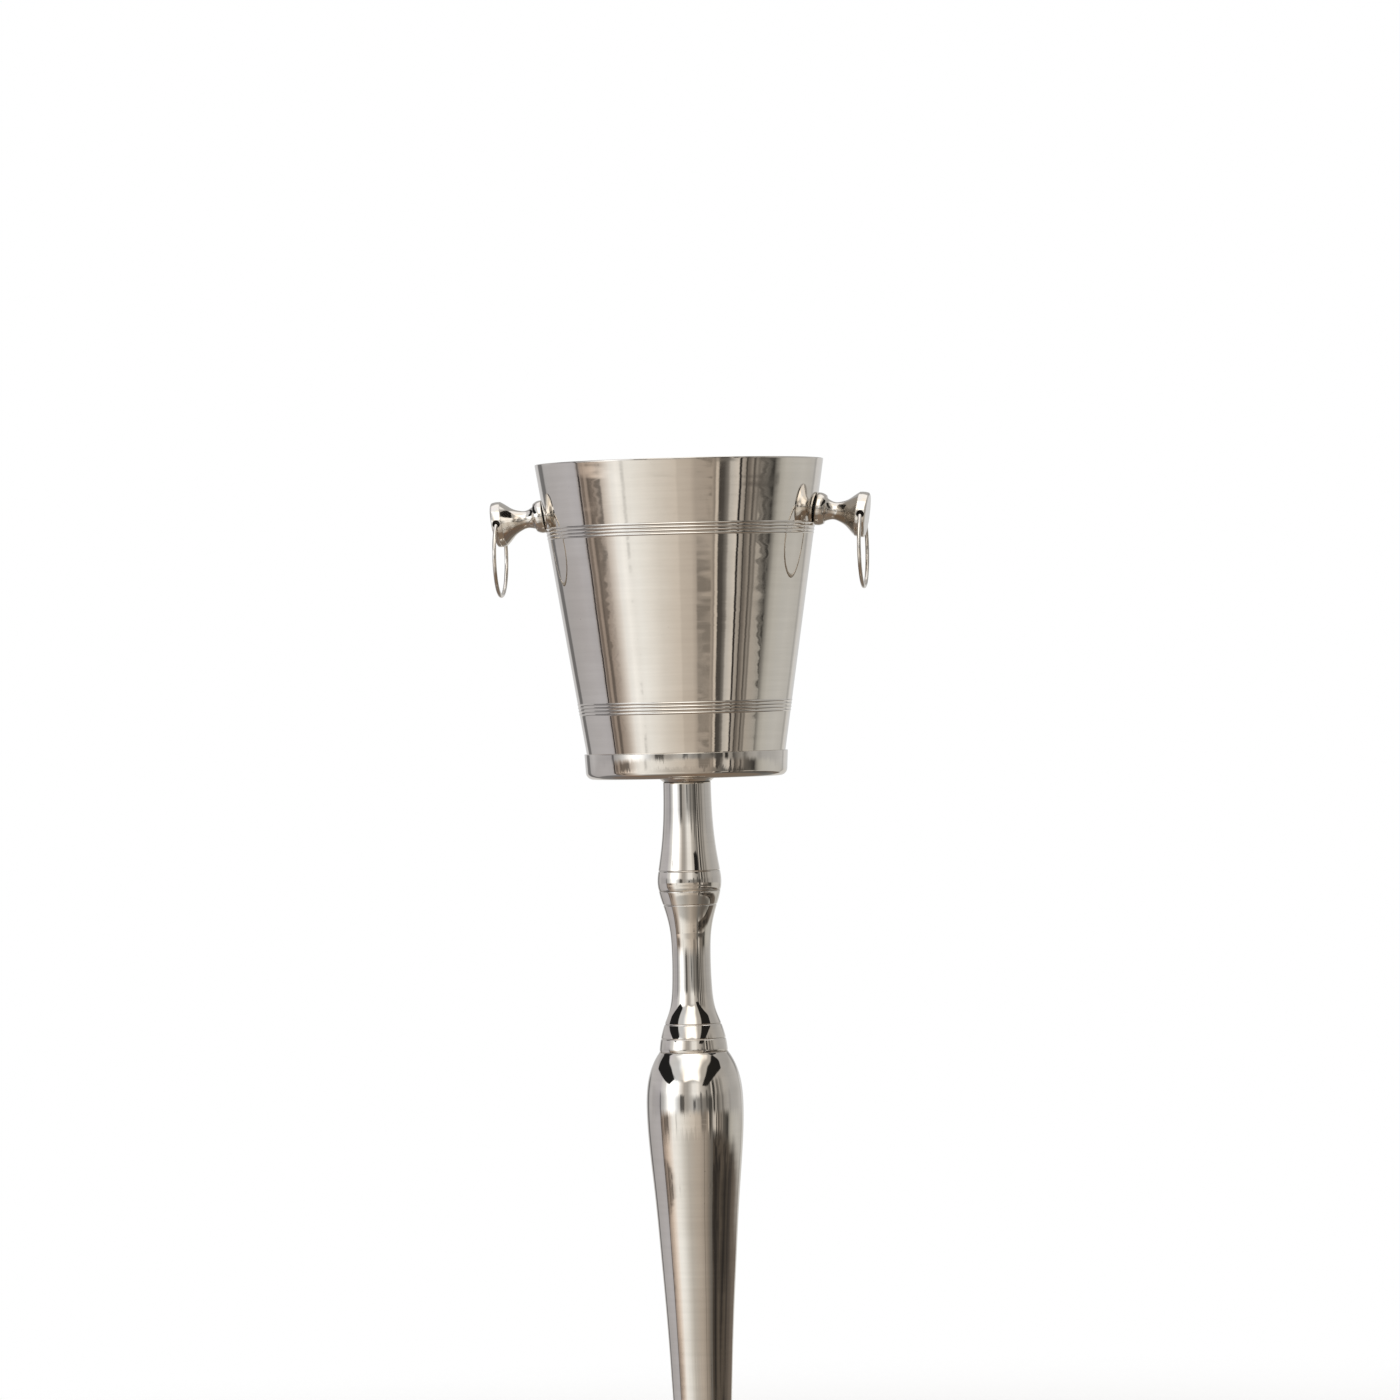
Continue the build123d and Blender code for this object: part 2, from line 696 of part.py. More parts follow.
PARTS = {
    "bucket_shell": bucket_shell(),
    "bucket_base_pan": bucket_base_pan(),
    "bucket_inner_seal": disc(17.0, ROD_CLEAR, FLOOR_TOP_Z, CLAMP_WASHER_Z),
    "bucket_outer_seal": disc(OUTER_SEAL_SEAT - 0.1, ROD_CLEAR, BUCKET_Z - OUTER_SEAL_THICK, BUCKET_Z),
    "bucket_clamp_washer": disc(CLAMP_WASHER_RADIUS, ROD_CLEAR, CLAMP_WASHER_Z, DOME_NUT_Z),
    "bucket_dome_nut": bucket_dome_nut(),
    "seat_collar": seat_collar(),
    "collar_gasket": disc(20.3, SPIGOT_SEAT_RADIUS, TOP_OF_STEM, TOP_OF_STEM + GASKET_THICK),
    "upper_stem": upper_stem(),
    "upper_joint_bush": joint_bush(UPPER_JOINT_Z),
    "middle_stem": middle_stem(),
    "middle_joint_bush": joint_bush(MIDDLE_JOINT_Z),
    "baluster": baluster(),
    "lower_joint_bush": joint_bush(LOWER_JOINT_Z),
    "foot_neck": foot_neck(),
    "foot_joint_bush": joint_bush(FOOT_JOINT_Z),
    "tie_rod": tie_rod(),
    "foot_shell": foot_shell(),
    "foot_ballast": foot_ballast(),
    "foot_washer": disc(14.0, ROD_CLEAR, BALLAST_RECESS_Z - WASHER_THICK, BALLAST_RECESS_Z),
    "foot_spring_washer": foot_spring_washer(),
    "foot_nut": foot_nut(),
    "foot_cover": foot_cover(),
    "cover_screws": cover_screws(),
    "floor_pad_ring": floor_pad_ring(),
}
for name, side in (("right", 1), ("left", -1)):
    PARTS[f"{name}_knob"] = knob(side)
    PARTS[f"{name}_ring"] = ring(side)
    PARTS[f"{name}_knob_screw"] = knob_screw(side)
    PARTS[f"{name}_knob_washer"] = knob_washer(side)
    PARTS[f"{name}_knob_seal"] = knob_seal(side)
    place = hinge_point(side)
    print(f"{name} ring axis through x {place.X:.2f}, z {place.Z:.2f}")

for name, part in PARTS.items():
    export_step(part, f"parts/{name}.step")
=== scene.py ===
import bpy
import json
import math
import numpy as np
from mathutils import Matrix, Vector


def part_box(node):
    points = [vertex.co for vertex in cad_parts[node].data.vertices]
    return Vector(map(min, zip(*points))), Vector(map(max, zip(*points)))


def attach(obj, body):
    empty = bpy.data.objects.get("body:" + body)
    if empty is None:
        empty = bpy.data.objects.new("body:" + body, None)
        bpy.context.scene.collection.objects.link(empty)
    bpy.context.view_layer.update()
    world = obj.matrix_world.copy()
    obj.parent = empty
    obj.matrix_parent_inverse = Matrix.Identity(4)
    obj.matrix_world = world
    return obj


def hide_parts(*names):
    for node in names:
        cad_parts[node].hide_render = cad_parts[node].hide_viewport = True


# Champagne bucket stand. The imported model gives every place. This script turns finer meshes of the visible
# pieces round it and finishes them as polished, spun and cast nickel plate.
# Outlines are in millimetres, as (radius, height above the node's own underside). turned() makes them metres.

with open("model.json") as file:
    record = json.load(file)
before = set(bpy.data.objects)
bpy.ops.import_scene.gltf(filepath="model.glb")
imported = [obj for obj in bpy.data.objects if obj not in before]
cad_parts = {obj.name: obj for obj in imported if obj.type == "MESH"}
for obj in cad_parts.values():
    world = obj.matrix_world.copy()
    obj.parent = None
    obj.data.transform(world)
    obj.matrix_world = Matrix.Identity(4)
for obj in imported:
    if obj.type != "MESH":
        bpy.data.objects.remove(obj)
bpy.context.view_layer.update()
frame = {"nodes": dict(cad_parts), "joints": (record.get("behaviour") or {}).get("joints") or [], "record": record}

MM = 0.001
UP = Vector((0, 0, 1))
BROAD_ROUND = 256  # faces round the bucket and the foot
ROUND = 192  # faces round a column piece
FINE_ROUND = 96  # faces round a small piece
SHARP_ANGLE = 32  # degrees between faces from which an edge stays sharp

# Shape constants shared with the solid model
RIM_RADIUS = 125.9
WALL_SLOPE = 0.1552
SHEET = 1.2
BEAD_PITCH = 2.9
BEAD_WIDTH = 1.5
BEAD_PROUD = 0.4
BAND_TOPS = (65.3, 219.0)
BEADS_IN_BAND = 4
ROD_CLEAR = 5.25
LINE_DEPTH = 0.5
LINE_HALF_WIDTH = 0.8
HINGE_REACH = 40.9
HINGE_DROP = 1.0
FLANGE_RADIUS = 19.8
KNOB_LENGTH = 45.5
SCREW_CLEAR = 2.75
WIRE_RADIUS = 1.7
WALL_ANGLE = math.atan(WALL_SLOPE)
SHEET_ACROSS = SHEET / math.cos(WALL_ANGLE)

# Camera
VIEW_AZIMUTH = 7.5
VIEW_DISTANCE = 6.0
VIEW_ROLL = 1.45
VIEW_LENS = 177.0
VIEW_SIDE_OFFSET = 0.0132
EYE_HEIGHT = 0.8365
AIM_HEIGHT = 0.812


# ---- Outlines ----


def low_z(node):
    """Height of a node's underside, in metres."""
    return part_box(node)[0].z


def smooth_line(points, start_way, end_way, spacing=1.6):
    """Points along the smooth curve through the given ones, from its first direction to its last."""
    p = np.array(points, float)
    h = np.linalg.norm(np.diff(p, axis=0), axis=1)
    n = len(p)
    system = np.eye(n)
    right = np.zeros((n, 2))
    right[0] = np.array(start_way) / np.linalg.norm(start_way)
    right[-1] = np.array(end_way) / np.linalg.norm(end_way)
    for i in range(1, n - 1):
        system[i, i - 1 : i + 2] = (h[i], 2 * (h[i - 1] + h[i]), h[i - 1])
        before = (p[i] - p[i - 1]) / h[i - 1]
        after = (p[i + 1] - p[i]) / h[i]
        right[i] = 3 * (h[i] * before + h[i - 1] * after)
    slopes = np.linalg.solve(system, right)
    line = [tuple(p[0])]
    for i in range(n - 1):
        steps = max(2, math.ceil(h[i] / spacing))
        for k in range(1, steps + 1):
            t = k / steps
            here = (
                (2 * t**3 - 3 * t**2 + 1) * p[i]
                + (t**3 - 2 * t**2 + t) * h[i] * slopes[i]
                + (3 * t**2 - 2 * t**3) * p[i + 1]
                + (t**3 - t**2) * h[i] * slopes[i + 1]
            )
            line.append(tuple(here))
    return line


def rounded(corners, radii, steps=6):
    """An open line through the corners, with each inner corner rounded to its radius (0 keeps it sharp)."""
    line = [tuple(corners[0])]
    for i, radius in enumerate(radii, start=1):
        corner = Vector(corners[i])
        back = (Vector(corners[i - 1]) - corner).normalized()
        on = (Vector(corners[i + 1]) - corner).normalized()
        if radius == 0:
            line.append(tuple(corner))
            continue
        half = math.acos(max(-1, min(1, back.dot(on)))) / 2
        reach = radius / math.tan(half)
        centre = corner + (back + on).normalized() * (radius / math.sin(half))
        first = corner + back * reach - centre
        last = corner + on * reach - centre
        turn = first.angle_signed(last)
        for k in range(steps + 1):
            spot = centre + Matrix.Rotation(-turn * k / steps, 2) @ first
            line.append(tuple(spot))
    line.append(tuple(corners[-1]))
    return line


def split_long(line, spacing):
    """The same line with points added where two are more than spacing apart."""
    out = [line[0]]
    for a, b in zip(line, line[1:]):
        steps = max(1, math.ceil(math.dist(a, b) / spacing))
        out += [tuple(np.array(a) + (np.array(b) - a) * k / steps) for k in range(1, steps + 1)]
    return out


def engraved(line, *heights):
    """A rising line with a fine round-bottomed groove cut into it at each height."""
    half_steps = (0.35, 0.7, 1.0, 1.5, 2.4)
    steps = [-k for k in reversed(half_steps)] + [0, *half_steps]
    for height in heights:
        radii, levels = zip(*line)
        offsets = [LINE_HALF_WIDTH * k for k in steps]
        cut = []
        for offset in offsets:
            share = max(0.0, 1 - (offset / LINE_HALF_WIDTH) ** 2)
            radius = float(np.interp(height + offset, levels, radii))
            cut.append((radius - LINE_DEPTH * share, height + offset))
        reach = offsets[-1] + 0.2
        kept = [spot for spot in line if abs(spot[1] - height) > reach]
        line = sorted(kept + cut, key=lambda spot: spot[1])
    return line


def eased(radius, height, way):
    """The small rounded edge at a casting's end: way is 1 at its top and -1 at its underside."""
    ease = 0.6
    spots = [
        (radius - ease * (1 - math.sin(a)), height - way * ease * (1 - math.cos(a)))
        for a in (math.radians(d) for d in (0, 30, 60, 90))
    ]
    return spots if way > 0 else spots[::-1]


# ---- Meshes ----


def shade(mesh):
    """Smooth shading that keeps the sharp edges."""
    mesh.shade_smooth()
    mesh.set_sharp_from_angle(angle=math.radians(SHARP_ANGLE))


def finished(name, vertices, faces):
    """A smooth-shaded object from vertices and faces."""
    mesh = bpy.data.meshes.new(name)
    mesh.from_pydata(vertices, [], faces)
    mesh.validate()
    shade(mesh)
    piece = bpy.data.objects.new(name, mesh)
    bpy.context.scene.collection.objects.link(piece)
    return piece


def circle(around):
    """The angles of the corners round a circle."""
    return [2 * math.pi * k / around for k in range(around)]


def turned(name, outline, foot_z=0.0, around=ROUND, limit=None):
    """The mesh of a closed outline spun about Z. The outline runs up the outside and back down the inside.
    limit(angle) caps the radius, which cuts flats on a turned blank."""
    vertices = []
    rings = []
    for radius, height in outline:
        z = foot_z + height * MM
        if radius < 1e-4:
            rings.append([len(vertices)] * around)
            vertices.append((0, 0, z))
            continue
        ring = []
        for a in circle(around):
            r = min(radius, limit(a)) if limit else radius
            ring.append(len(vertices))
            vertices.append((r * MM * math.cos(a), r * MM * math.sin(a), z))
        rings.append(ring)
    faces = []
    for low, high in zip(rings, rings[1:] + rings[:1]):
        for k in range(around):
            n = (k + 1) % around
            face = []
            for corner in (low[k], low[n], high[n], high[k]):
                if corner not in face:
                    face.append(corner)
            if len(face) > 2:
                faces.append(face)
    return finished(name, vertices, faces)


def tube(name, path, radius, around=20):
    """A round wire along a path in an upright plane square to X, closed at both ends."""
    vertices = []
    faces = []
    last = len(path) - 1
    for i, spot in enumerate(path):
        way = (path[min(i + 1, last)] - path[max(i - 1, 0)]).normalized()
        side = Vector((1, 0, 0))
        over = way.cross(side)
        for a in circle(around):
            vertices.append(spot + side * (radius * math.cos(a)) + over * (radius * math.sin(a)))
    for i in range(last):
        for k in range(around):
            n = (k + 1) % around
            here, there = i * around, (i + 1) * around
            faces.append((here + k, there + k, there + n, here + n))
    faces.append(tuple(range(around)))
    faces.append(tuple(reversed(range(last * around, (last + 1) * around))))
    return finished(name, vertices, faces)


def cut(piece, tools, finish, inside):
    """The piece in its finish with the tools' shapes cut out of it, and another finish inside the cuts."""
    piece.data.materials.append(finish)
    for tool in tools:
        tool.data.materials.append(inside)
        modifier = piece.modifiers.new("cut", "BOOLEAN")
        modifier.object = tool
        modifier.operation = "DIFFERENCE"
        modifier.solver = "EXACT"
        modifier.material_mode = "TRANSFER"
    bpy.context.view_layer.update()
    graph = bpy.context.evaluated_depsgraph_get()
    mesh = bpy.data.meshes.new_from_object(piece.evaluated_get(graph))
    piece.modifiers.clear()
    piece.data = mesh
    shade(mesh)
    for tool in tools:
        bpy.data.objects.remove(tool)
    return piece


# ---- Node trees ----


class Nodes:
    """Short calls for making a node tree."""

    def __init__(self, tree):
        tree.nodes.clear()
        self.tree = tree

    def add(self, kind, inputs=None, **settings):
        """A node with its settings, and each input either set to a value or linked to a socket."""
        node = self.tree.nodes.new(kind)
        for name, value in settings.items():
            setattr(node, name, value)
        for name, value in (inputs or {}).items():
            if isinstance(value, bpy.types.NodeSocket):
                self.tree.links.new(value, node.inputs[name])
            else:
                node.inputs[name].default_value = value
        return node

    def math(self, operation, a, b=0.0):
        return self.add("ShaderNodeMath", {0: a, 1: b}, operation=operation).outputs[0]

    def noise(self, place, stretch, detail=3.0, roughness=0.55, distortion=0.0):
        """Soft noise whose grain has the given size along each axis: a larger stretch is a finer grain."""
        scaled = self.add("ShaderNodeVectorMath", {0: place, 1: stretch}, operation="MULTIPLY")
        settings = {
            "Vector": scaled.outputs[0],
            "Scale": 1.0,
            "Detail": detail,
            "Roughness": roughness,
            "Distortion": distortion,
        }
        return self.add("ShaderNodeTexNoise", settings).outputs["Fac"]

    def uneven(self, place, stretch, detail=3.0, roughness=0.55):
        """The same noise, shifted to lie about zero."""
        return self.math("SUBTRACT", self.noise(place, stretch, detail, roughness), 0.5)

    def plus(self, value, extra, share):
        """The value with a share of another added to it."""
        return self.math("ADD", value, self.math("MULTIPLY", extra, share))

    def window(self, value, start, end, soft):
        """1 between start and end, and 0 outside them, with soft edges."""
        rising = self.between(value, start - soft, start + soft)
        falling = self.between(value, end - soft, end + soft, 1.0, 0.0)
        return self.math("MULTIPLY", rising, falling)

    def between(self, value, low, high, to_low=0.0, to_high=1.0):
        """The value mapped from one range to another, smoothly, and held at the ends."""
        inputs = {"Value": value, "From Min": low, "From Max": high, "To Min": to_low, "To Max": to_high}
        return self.add("ShaderNodeMapRange", inputs, interpolation_type="SMOOTHSTEP").outputs[0]

    def mix(self, share, a, b, blend="MIX"):
        node = self.add("ShaderNodeMix", data_type="RGBA", blend_type=blend)
        for index, value in ((0, share), (6, a), (7, b)):
            if isinstance(value, bpy.types.NodeSocket):
                self.tree.links.new(value, node.inputs[index])
            else:
                node.inputs[index].default_value = value
        return node.outputs[2]

    def ramp(self, value, stops):
        """A colour ramp through (position, colour) stops."""
        node = self.add("ShaderNodeValToRGB", {"Fac": value})
        elements = node.color_ramp.elements
        while len(elements) > 1:
            elements.remove(elements[-1])
        elements[0].position, elements[0].color = stops[0]
        for position, colour in stops[1:]:
            elements.new(position).color = colour
        return node.outputs["Color"]


def new_material(name):
    material = bpy.data.materials.new(name)
    material.use_nodes = True
    return material, Nodes(material.node_tree)


def nickel(name, light, dark, smooth, hazy, lines, waves, sideways=0.0, feather=0.0, steps=(14, 14, 40)):
    """Nickel plate. Colour drifts between light and dark, and roughness between smooth and hazy.
    lines is the height of the fine turning lines and waves that of the soft steps left by the spinning
    tool, both in metres, and steps says how close the waves lie along each axis. sideways and feather tilt
    the surface round the axis, slowly and in fine ragged lines."""
    material, n = new_material(name)
    place = n.add("ShaderNodeTexCoord").outputs["Object"]
    cloud = n.noise(place, (9, 9, 9), detail=4)
    smudge = n.noise(place, (38, 38, 24), detail=5, roughness=0.62, distortion=0.6)
    fine_lines = n.noise(place, (16, 16, 1300), detail=2)
    broad_lines = n.noise(place, (9, 9, 240), detail=3)
    soft_steps = n.noise(place, steps, detail=2, roughness=0.45)
    specks = n.noise(place, (420, 420, 420), detail=1)

    tone = n.mix(n.between(cloud, 0.35, 0.68), light, dark)
    streak = n.between(broad_lines, 0.3, 0.7, 0.975, 1.02)
    streak = n.add("ShaderNodeCombineColor", {0: streak, 1: streak, 2: streak}).outputs[0]
    tone = n.mix(1.0, tone, streak, "MULTIPLY")
    speck = n.between(specks, 0.79, 0.84)
    tone = n.mix(n.math("MULTIPLY", speck, 0.4), tone, (0.18, 0.15, 0.12, 1))

    worn = n.between(smudge, 0.42, 0.72)
    lined_haze = n.between(fine_lines, 0.25, 0.75)
    haze = n.math("ADD", n.math("MULTIPLY", worn, 0.65), n.math("MULTIPLY", lined_haze, 0.35))
    roughness = n.between(haze, 0.0, 1.0, smooth, hazy)

    bump = n.add("ShaderNodeBump", {"Strength": 1.0, "Distance": waves, "Height": soft_steps}).outputs[0]
    for height, depth in ((broad_lines, lines * 3), (fine_lines, lines)):
        settings = {"Strength": 1.0, "Distance": depth, "Height": height, "Normal": bump}
        bump = n.add("ShaderNodeBump", settings).outputs[0]
    if sideways:
        slow = n.uneven(place, (40, 40, 9), detail=2)
        ragged = n.uneven(place, (55, 55, 620), detail=3, roughness=0.7)
        patch = n.between(n.noise(place, (13, 13, 16), detail=2), 0.40, 0.62, 0.15, 1.0)
        fine = n.math("MULTIPLY", n.math("MULTIPLY", ragged, patch), feather)
        tilt = n.math("ADD", n.math("MULTIPLY", slow, sideways), fine)
        around = n.add("ShaderNodeTangent", direction_type="RADIAL", axis="Z").outputs[0]
        push = n.add("ShaderNodeVectorMath", {0: around, "Scale": tilt}, operation="SCALE").outputs[0]
        pushed = n.add("ShaderNodeVectorMath", {0: bump, 1: push}, operation="ADD").outputs[0]
        bump = n.add("ShaderNodeVectorMath", {0: pushed}, operation="NORMALIZE").outputs[0]
    shader = n.add(
        "ShaderNodeBsdfPrincipled",
        {"Base Color": tone, "Metallic": 1.0, "Roughness": roughness, "Normal": bump},
    )
    n.add("ShaderNodeOutputMaterial", {"Surface": shader.outputs[0]})
    return material


def plain_finish(name, light, dark, smooth, hazy, grain, bump, metallic=0.0):
    """A simple finish with drifting colour, grained roughness and a fine bump."""
    material, n = new_material(name)
    place = n.add("ShaderNodeTexCoord").outputs["Object"]
    cloud = n.noise(place, (20, 20, 20), detail=4)
    fine = n.noise(place, (grain, grain, grain), detail=4)
    tone = n.mix(n.between(cloud, 0.3, 0.7), light, dark)
    roughness = n.between(fine, 0.3, 0.7, smooth, hazy)
    relief = n.add("ShaderNodeBump", {"Strength": 1.0, "Distance": bump, "Height": fine})
    shader = n.add(
        "ShaderNodeBsdfPrincipled",
        {"Base Color": tone, "Metallic": metallic, "Roughness": roughness, "Normal": relief.outputs[0]},
    )
    n.add("ShaderNodeOutputMaterial", {"Surface": shader.outputs[0]})
    return material


def metal(name, light, dark, smooth, hazy, grain, bump):
    return plain_finish(name, light, dark, smooth, hazy, grain, bump, metallic=1.0)


LIGHT_NICKEL = (0.74, 0.695, 0.635, 1)
DARK_NICKEL = (0.68, 0.630, 0.565, 1)
NICKEL = (LIGHT_NICKEL, DARK_NICKEL)
SPUN = nickel("spun_nickel", *NICKEL, 0.02, 0.08, 0.5e-6, 1.6e-4, sideways=0.016, feather=0.02)
CAST = nickel("cast_nickel", *NICKEL, 0.02, 0.07, 0.15e-6, 0.9e-4, sideways=0.04, feather=0.005)
KNOBS = nickel("turned_nickel", *NICKEL, 0.09, 0.16, 0.4e-6, 0.3e-4, steps=(30, 30, 30))
WIRE = nickel("wire_nickel", *NICKEL, 0.10, 0.18, 0.2e-6, 0.2e-4, steps=(40, 40, 40))
STEEL = metal("zinc_steel", (0.55, 0.55, 0.54, 1), (0.42, 0.42, 0.42, 1), 0.22, 0.42, 300, 8e-6)
ALUMINIUM = metal("bare_aluminium", (0.7, 0.7, 0.71, 1), (0.6, 0.6, 0.62, 1), 0.25, 0.4, 400, 6e-6)
# Near-black finish for the inside of the drilled holes: painted shade for their dark depth
PAINTED_SHADE_BORE = metal("painted_shade_bore", (0.10, 0.085, 0.07, 1), (0.04, 0.034, 0.03, 1), 0.45, 0.7, 300, 1e-5)
IRON = plain_finish("cast_iron", (0.05, 0.048, 0.046, 1), (0.025, 0.024, 0.023, 1), 0.6, 0.85, 500, 5e-5)
RUBBER = plain_finish(
    "black_rubber", (0.022, 0.022, 0.023, 1), (0.012, 0.012, 0.012, 1), 0.55, 0.8, 900, 1e-5
)
SHEET_PAINT = plain_finish(
    "black_sheet", (0.03, 0.03, 0.031, 1), (0.018, 0.018, 0.019, 1), 0.35, 0.5, 700, 8e-6
)


def place_piece(piece, node, material=None, body="stand"):
    """The piece stands for a CAD node, which it hides: same body, and this material if it has none yet."""
    if material:
        piece.data.materials.append(material)
    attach(piece, body)
    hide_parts(node)
    return piece


# ---- The bucket ----


def bead_heights():
    """Heights of the fine raised beads above the bucket's underside, from the lowest up."""
    return sorted(top - BEAD_PITCH * i for top in BAND_TOPS for i in range(BEADS_IN_BAND))


def bead(middle, steps=6):
    """One bead from its lower edge up: how far each point stands proud of the wall, and its height."""
    points = []
    for k in range(-steps, steps + 1):
        share = k / steps
        proud = BEAD_PROUD * math.cos(share * math.pi / 2) ** 1.3
        points.append((proud, middle + share * BEAD_WIDTH / 2))
    return points


def make_bucket():
    low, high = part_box("bucket_shell")
    pan_z = low_z("bucket_base_pan")
    height = (high.z - pan_z) / MM
    foot = (low.z - pan_z) / MM

    def wall(h):
        """The wall's outside radius at a height."""
        return RIM_RADIUS - WALL_SLOPE * (height - h)

    floor_top = foot + SHEET
    corner_top = foot + 14
    lip = height - SHEET / 2
    under_lip = lip - SHEET
    corner = rounded(
        [(ROD_CLEAR, foot), (wall(foot), foot), (wall(corner_top), corner_top)],
        [7.0],
        steps=10,
    )
    outside = split_long(corner[:2], 20) + corner[2:]
    bead_clear = 1.3
    for h in bead_heights():
        outside.append((wall(h - bead_clear), h - bead_clear))
        outside += [(wall(level) + proud, level) for proud, level in bead(h)]
        outside.append((wall(h + bead_clear), h + bead_clear))
    outside.append((wall(under_lip), under_lip))
    middle = wall(lip) - SHEET_ACROSS / 2
    edge = [
        (middle + SHEET_ACROSS / 2 * math.cos(a), lip + SHEET / 2 * math.sin(a))
        for a in (math.pi * k / 8 for k in range(9))
    ]
    inner_top = (wall(under_lip) - SHEET_ACROSS, under_lip)
    inside = rounded(
        [inner_top, (wall(floor_top) - SHEET_ACROSS, floor_top), (ROD_CLEAR, floor_top)],
        [5.8],
        steps=10,
    )
    outline = split_long(outside + edge + inside, 14)
    shell = turned("bucket_spun_shell", outline, pan_z, BROAD_ROUND)
    tools = [screw_hole(side) for side in (1, -1)]
    # The screw holes' insides get the near-black finish with painted shade
    place_piece(cut(shell, tools, SPUN, PAINTED_SHADE_BORE), "bucket_shell")


def make_base_pan():
    """The shallow cup: up its outside, then down its inside past the step where it laps the bucket."""
    outer = [(ROD_CLEAR, 0), (87.45, 0), (88.7, 22)]
    inner = [(86.65, 22), (85.7, 15), (87.1, 13.5), (86.25, SHEET), (ROD_CLEAR, SHEET)]
    outline = rounded(outer + inner, [6.3, 0.45, 0, 0, 0.5, 5.1], steps=8)
    pan = turned("bucket_lapped_pan", split_long(outline, 10), low_z("bucket_base_pan"), BROAD_ROUND)
    place_piece(pan, "bucket_base_pan", SPUN)


def make_collar():
    side = smooth_line([(21.0, 8.0), (22.4, 9.3), (24.0, 10.7)], (0.6, 1), (0.9, 1), spacing=0.4)
    outline = [(ROD_CLEAR, 0), (11.6, 0), (12.0, 0.4), (12.0, 8.0)] + side
    outline += [(24.0, 11.2), (23.8, 11.5), (16.0, 11.5), (16.0, 10.5), (ROD_CLEAR, 10.5)]
    collar = turned("seat_collar_turned", outline, low_z("seat_collar"), FINE_ROUND)
    place_piece(collar, "seat_collar", KNOBS)


def washer_outline(inner, outer, low, high, radii, steps):
    """A washer's section, with its outer edges and its inner upper edge eased by the given radii."""
    corners = [(inner, low), (outer, low), (outer, high), (inner, high), (inner, low)]
    return rounded(corners, radii, steps)[:-1]


def hexagon(flats):
    """The radius limit that cuts a hexagon this wide across its flats."""

    def limit(angle):
        from_flat = (angle + math.pi / 6) % (math.pi / 3) - math.pi / 6
        return flats / 2 / math.cos(from_flat)

    return limit


def make_clamp():
    """The broad washer and the domed nut on the bucket's floor."""
    section = washer_outline(ROD_CLEAR, 20, 0, 2.5, [0.2, 0.8, 0.3], steps=4)
    washer = turned("clamp_washer_turned", section, low_z("bucket_clamp_washer"), FINE_ROUND)
    place_piece(washer, "bucket_clamp_washer", KNOBS)

    flats, thread, dome, top = 17.0, 5.05, 7.9, 19.0
    corner = flats / math.sqrt(3)
    bevel = corner - 0.8
    outline = [(thread, 0), (bevel, 0), (corner, 0.5), (corner, 8.2), (bevel, 8.8), (8.3, 9.0), (dome, 9.0)]
    outline += [
        (dome * math.cos(a), top - dome + dome * math.sin(a)) for a in (math.pi * k / 24 for k in range(12))
    ]
    outline += [(0, top), (0, 13.0), (thread, 13.0)]
    nut = turned("dome_nut_turned", outline, low_z("bucket_dome_nut"), 120, limit=hexagon(flats))
    place_piece(nut, "bucket_dome_nut", KNOBS)


# ---- The column and foot: heights are above each casting's own underside ----


def column_piece(name, node, outside, lines, bore):
    """One casting: its outside from the underside up, its engraved lines, and its bore down again."""
    bottom, top = outside[0], outside[-1]
    ends = (eased(bottom[0], 0, -1), eased(top[0], top[1] + 0.6, 1))
    surface = engraved(outside, *lines)
    outline = ends[0] + surface[1:-1] + ends[1][::-1] + bore
    piece = turned(name, outline, low_z(node))
    return place_piece(piece, node, CAST)


def seats(top, bottom=0.0):
    """The straight bore between two joint seats, from the top down."""
    return [(14, top), (14, top - 8), (12.5, top - 8), (12.5, bottom + 8), (14, bottom + 8), (14, bottom)]


def make_upper_stem():
    outside = [(26.9, 0.6), (27.8, 9.0), (26.9, 17.4), (24.2, 34.8), (21.9, 57.0), (20.8, 94.1)]
    bore = [(12.05, 94.7), (12.05, 84.8), (16.8, 80.8), (18, 43.8), (22, 17.8), (22, 9.8), (14, 8), (14, 0)]
    column_piece("upper_stem_cast", "upper_stem", smooth_line(outside, (0.24, 1), (0, 1)), [17.4], bore)


def make_middle_stem():
    outside = [(29.8, 0.6), (28.3, 11.8), (24.9, 23.8), (20.4, 35.8), (17.3, 58.3), (16.9, 88.3)]
    outside += [(18.1, 106.3), (23.3, 127.8), (26.7, 139.9)]
    side = smooth_line(outside, (-0.07, 1), (0.17, 1))
    column_piece("middle_stem_cast", "middle_stem", side, [11.8, 24.3, 128.3], seats(140.5))


def make_baluster():
    outside = [(26.0, 0.6), (26.8, 11.0), (24.6, 28.0), (23.9, 50.0), (25.5, 88.0), (27.6, 133.0)]
    outside += [(30.2, 178.0), (33.1, 220.0), (36.3, 264.0), (40.4, 310.0), (42.2, 344.0)]
    outside += [(40.4, 370.5), (36.2, 384.6), (30.3, 395.1)]
    bore = [(14, 395.7), (14, 386), (28, 383), (36, 370), (38, 344), (32.2, 264)]
    bore += [(21.8, 97), (18.5, 24), (12.5, 18), (14, 8), (14, 0)]
    column_piece("baluster_cast", "baluster", smooth_line(outside, (0.2, 1), (-0.72, 1)), [16.5], bore)


def make_neck():
    outside = [(31.4, 0.6), (24.4, 6.0), (19.4, 16.0), (18.8, 27.0), (22.6, 39.0), (25.8, 49.4)]
    column_piece("foot_neck_cast", "foot_neck", smooth_line(outside, (-1, 0.7), (0.2, 1)), [39.0], seats(50))


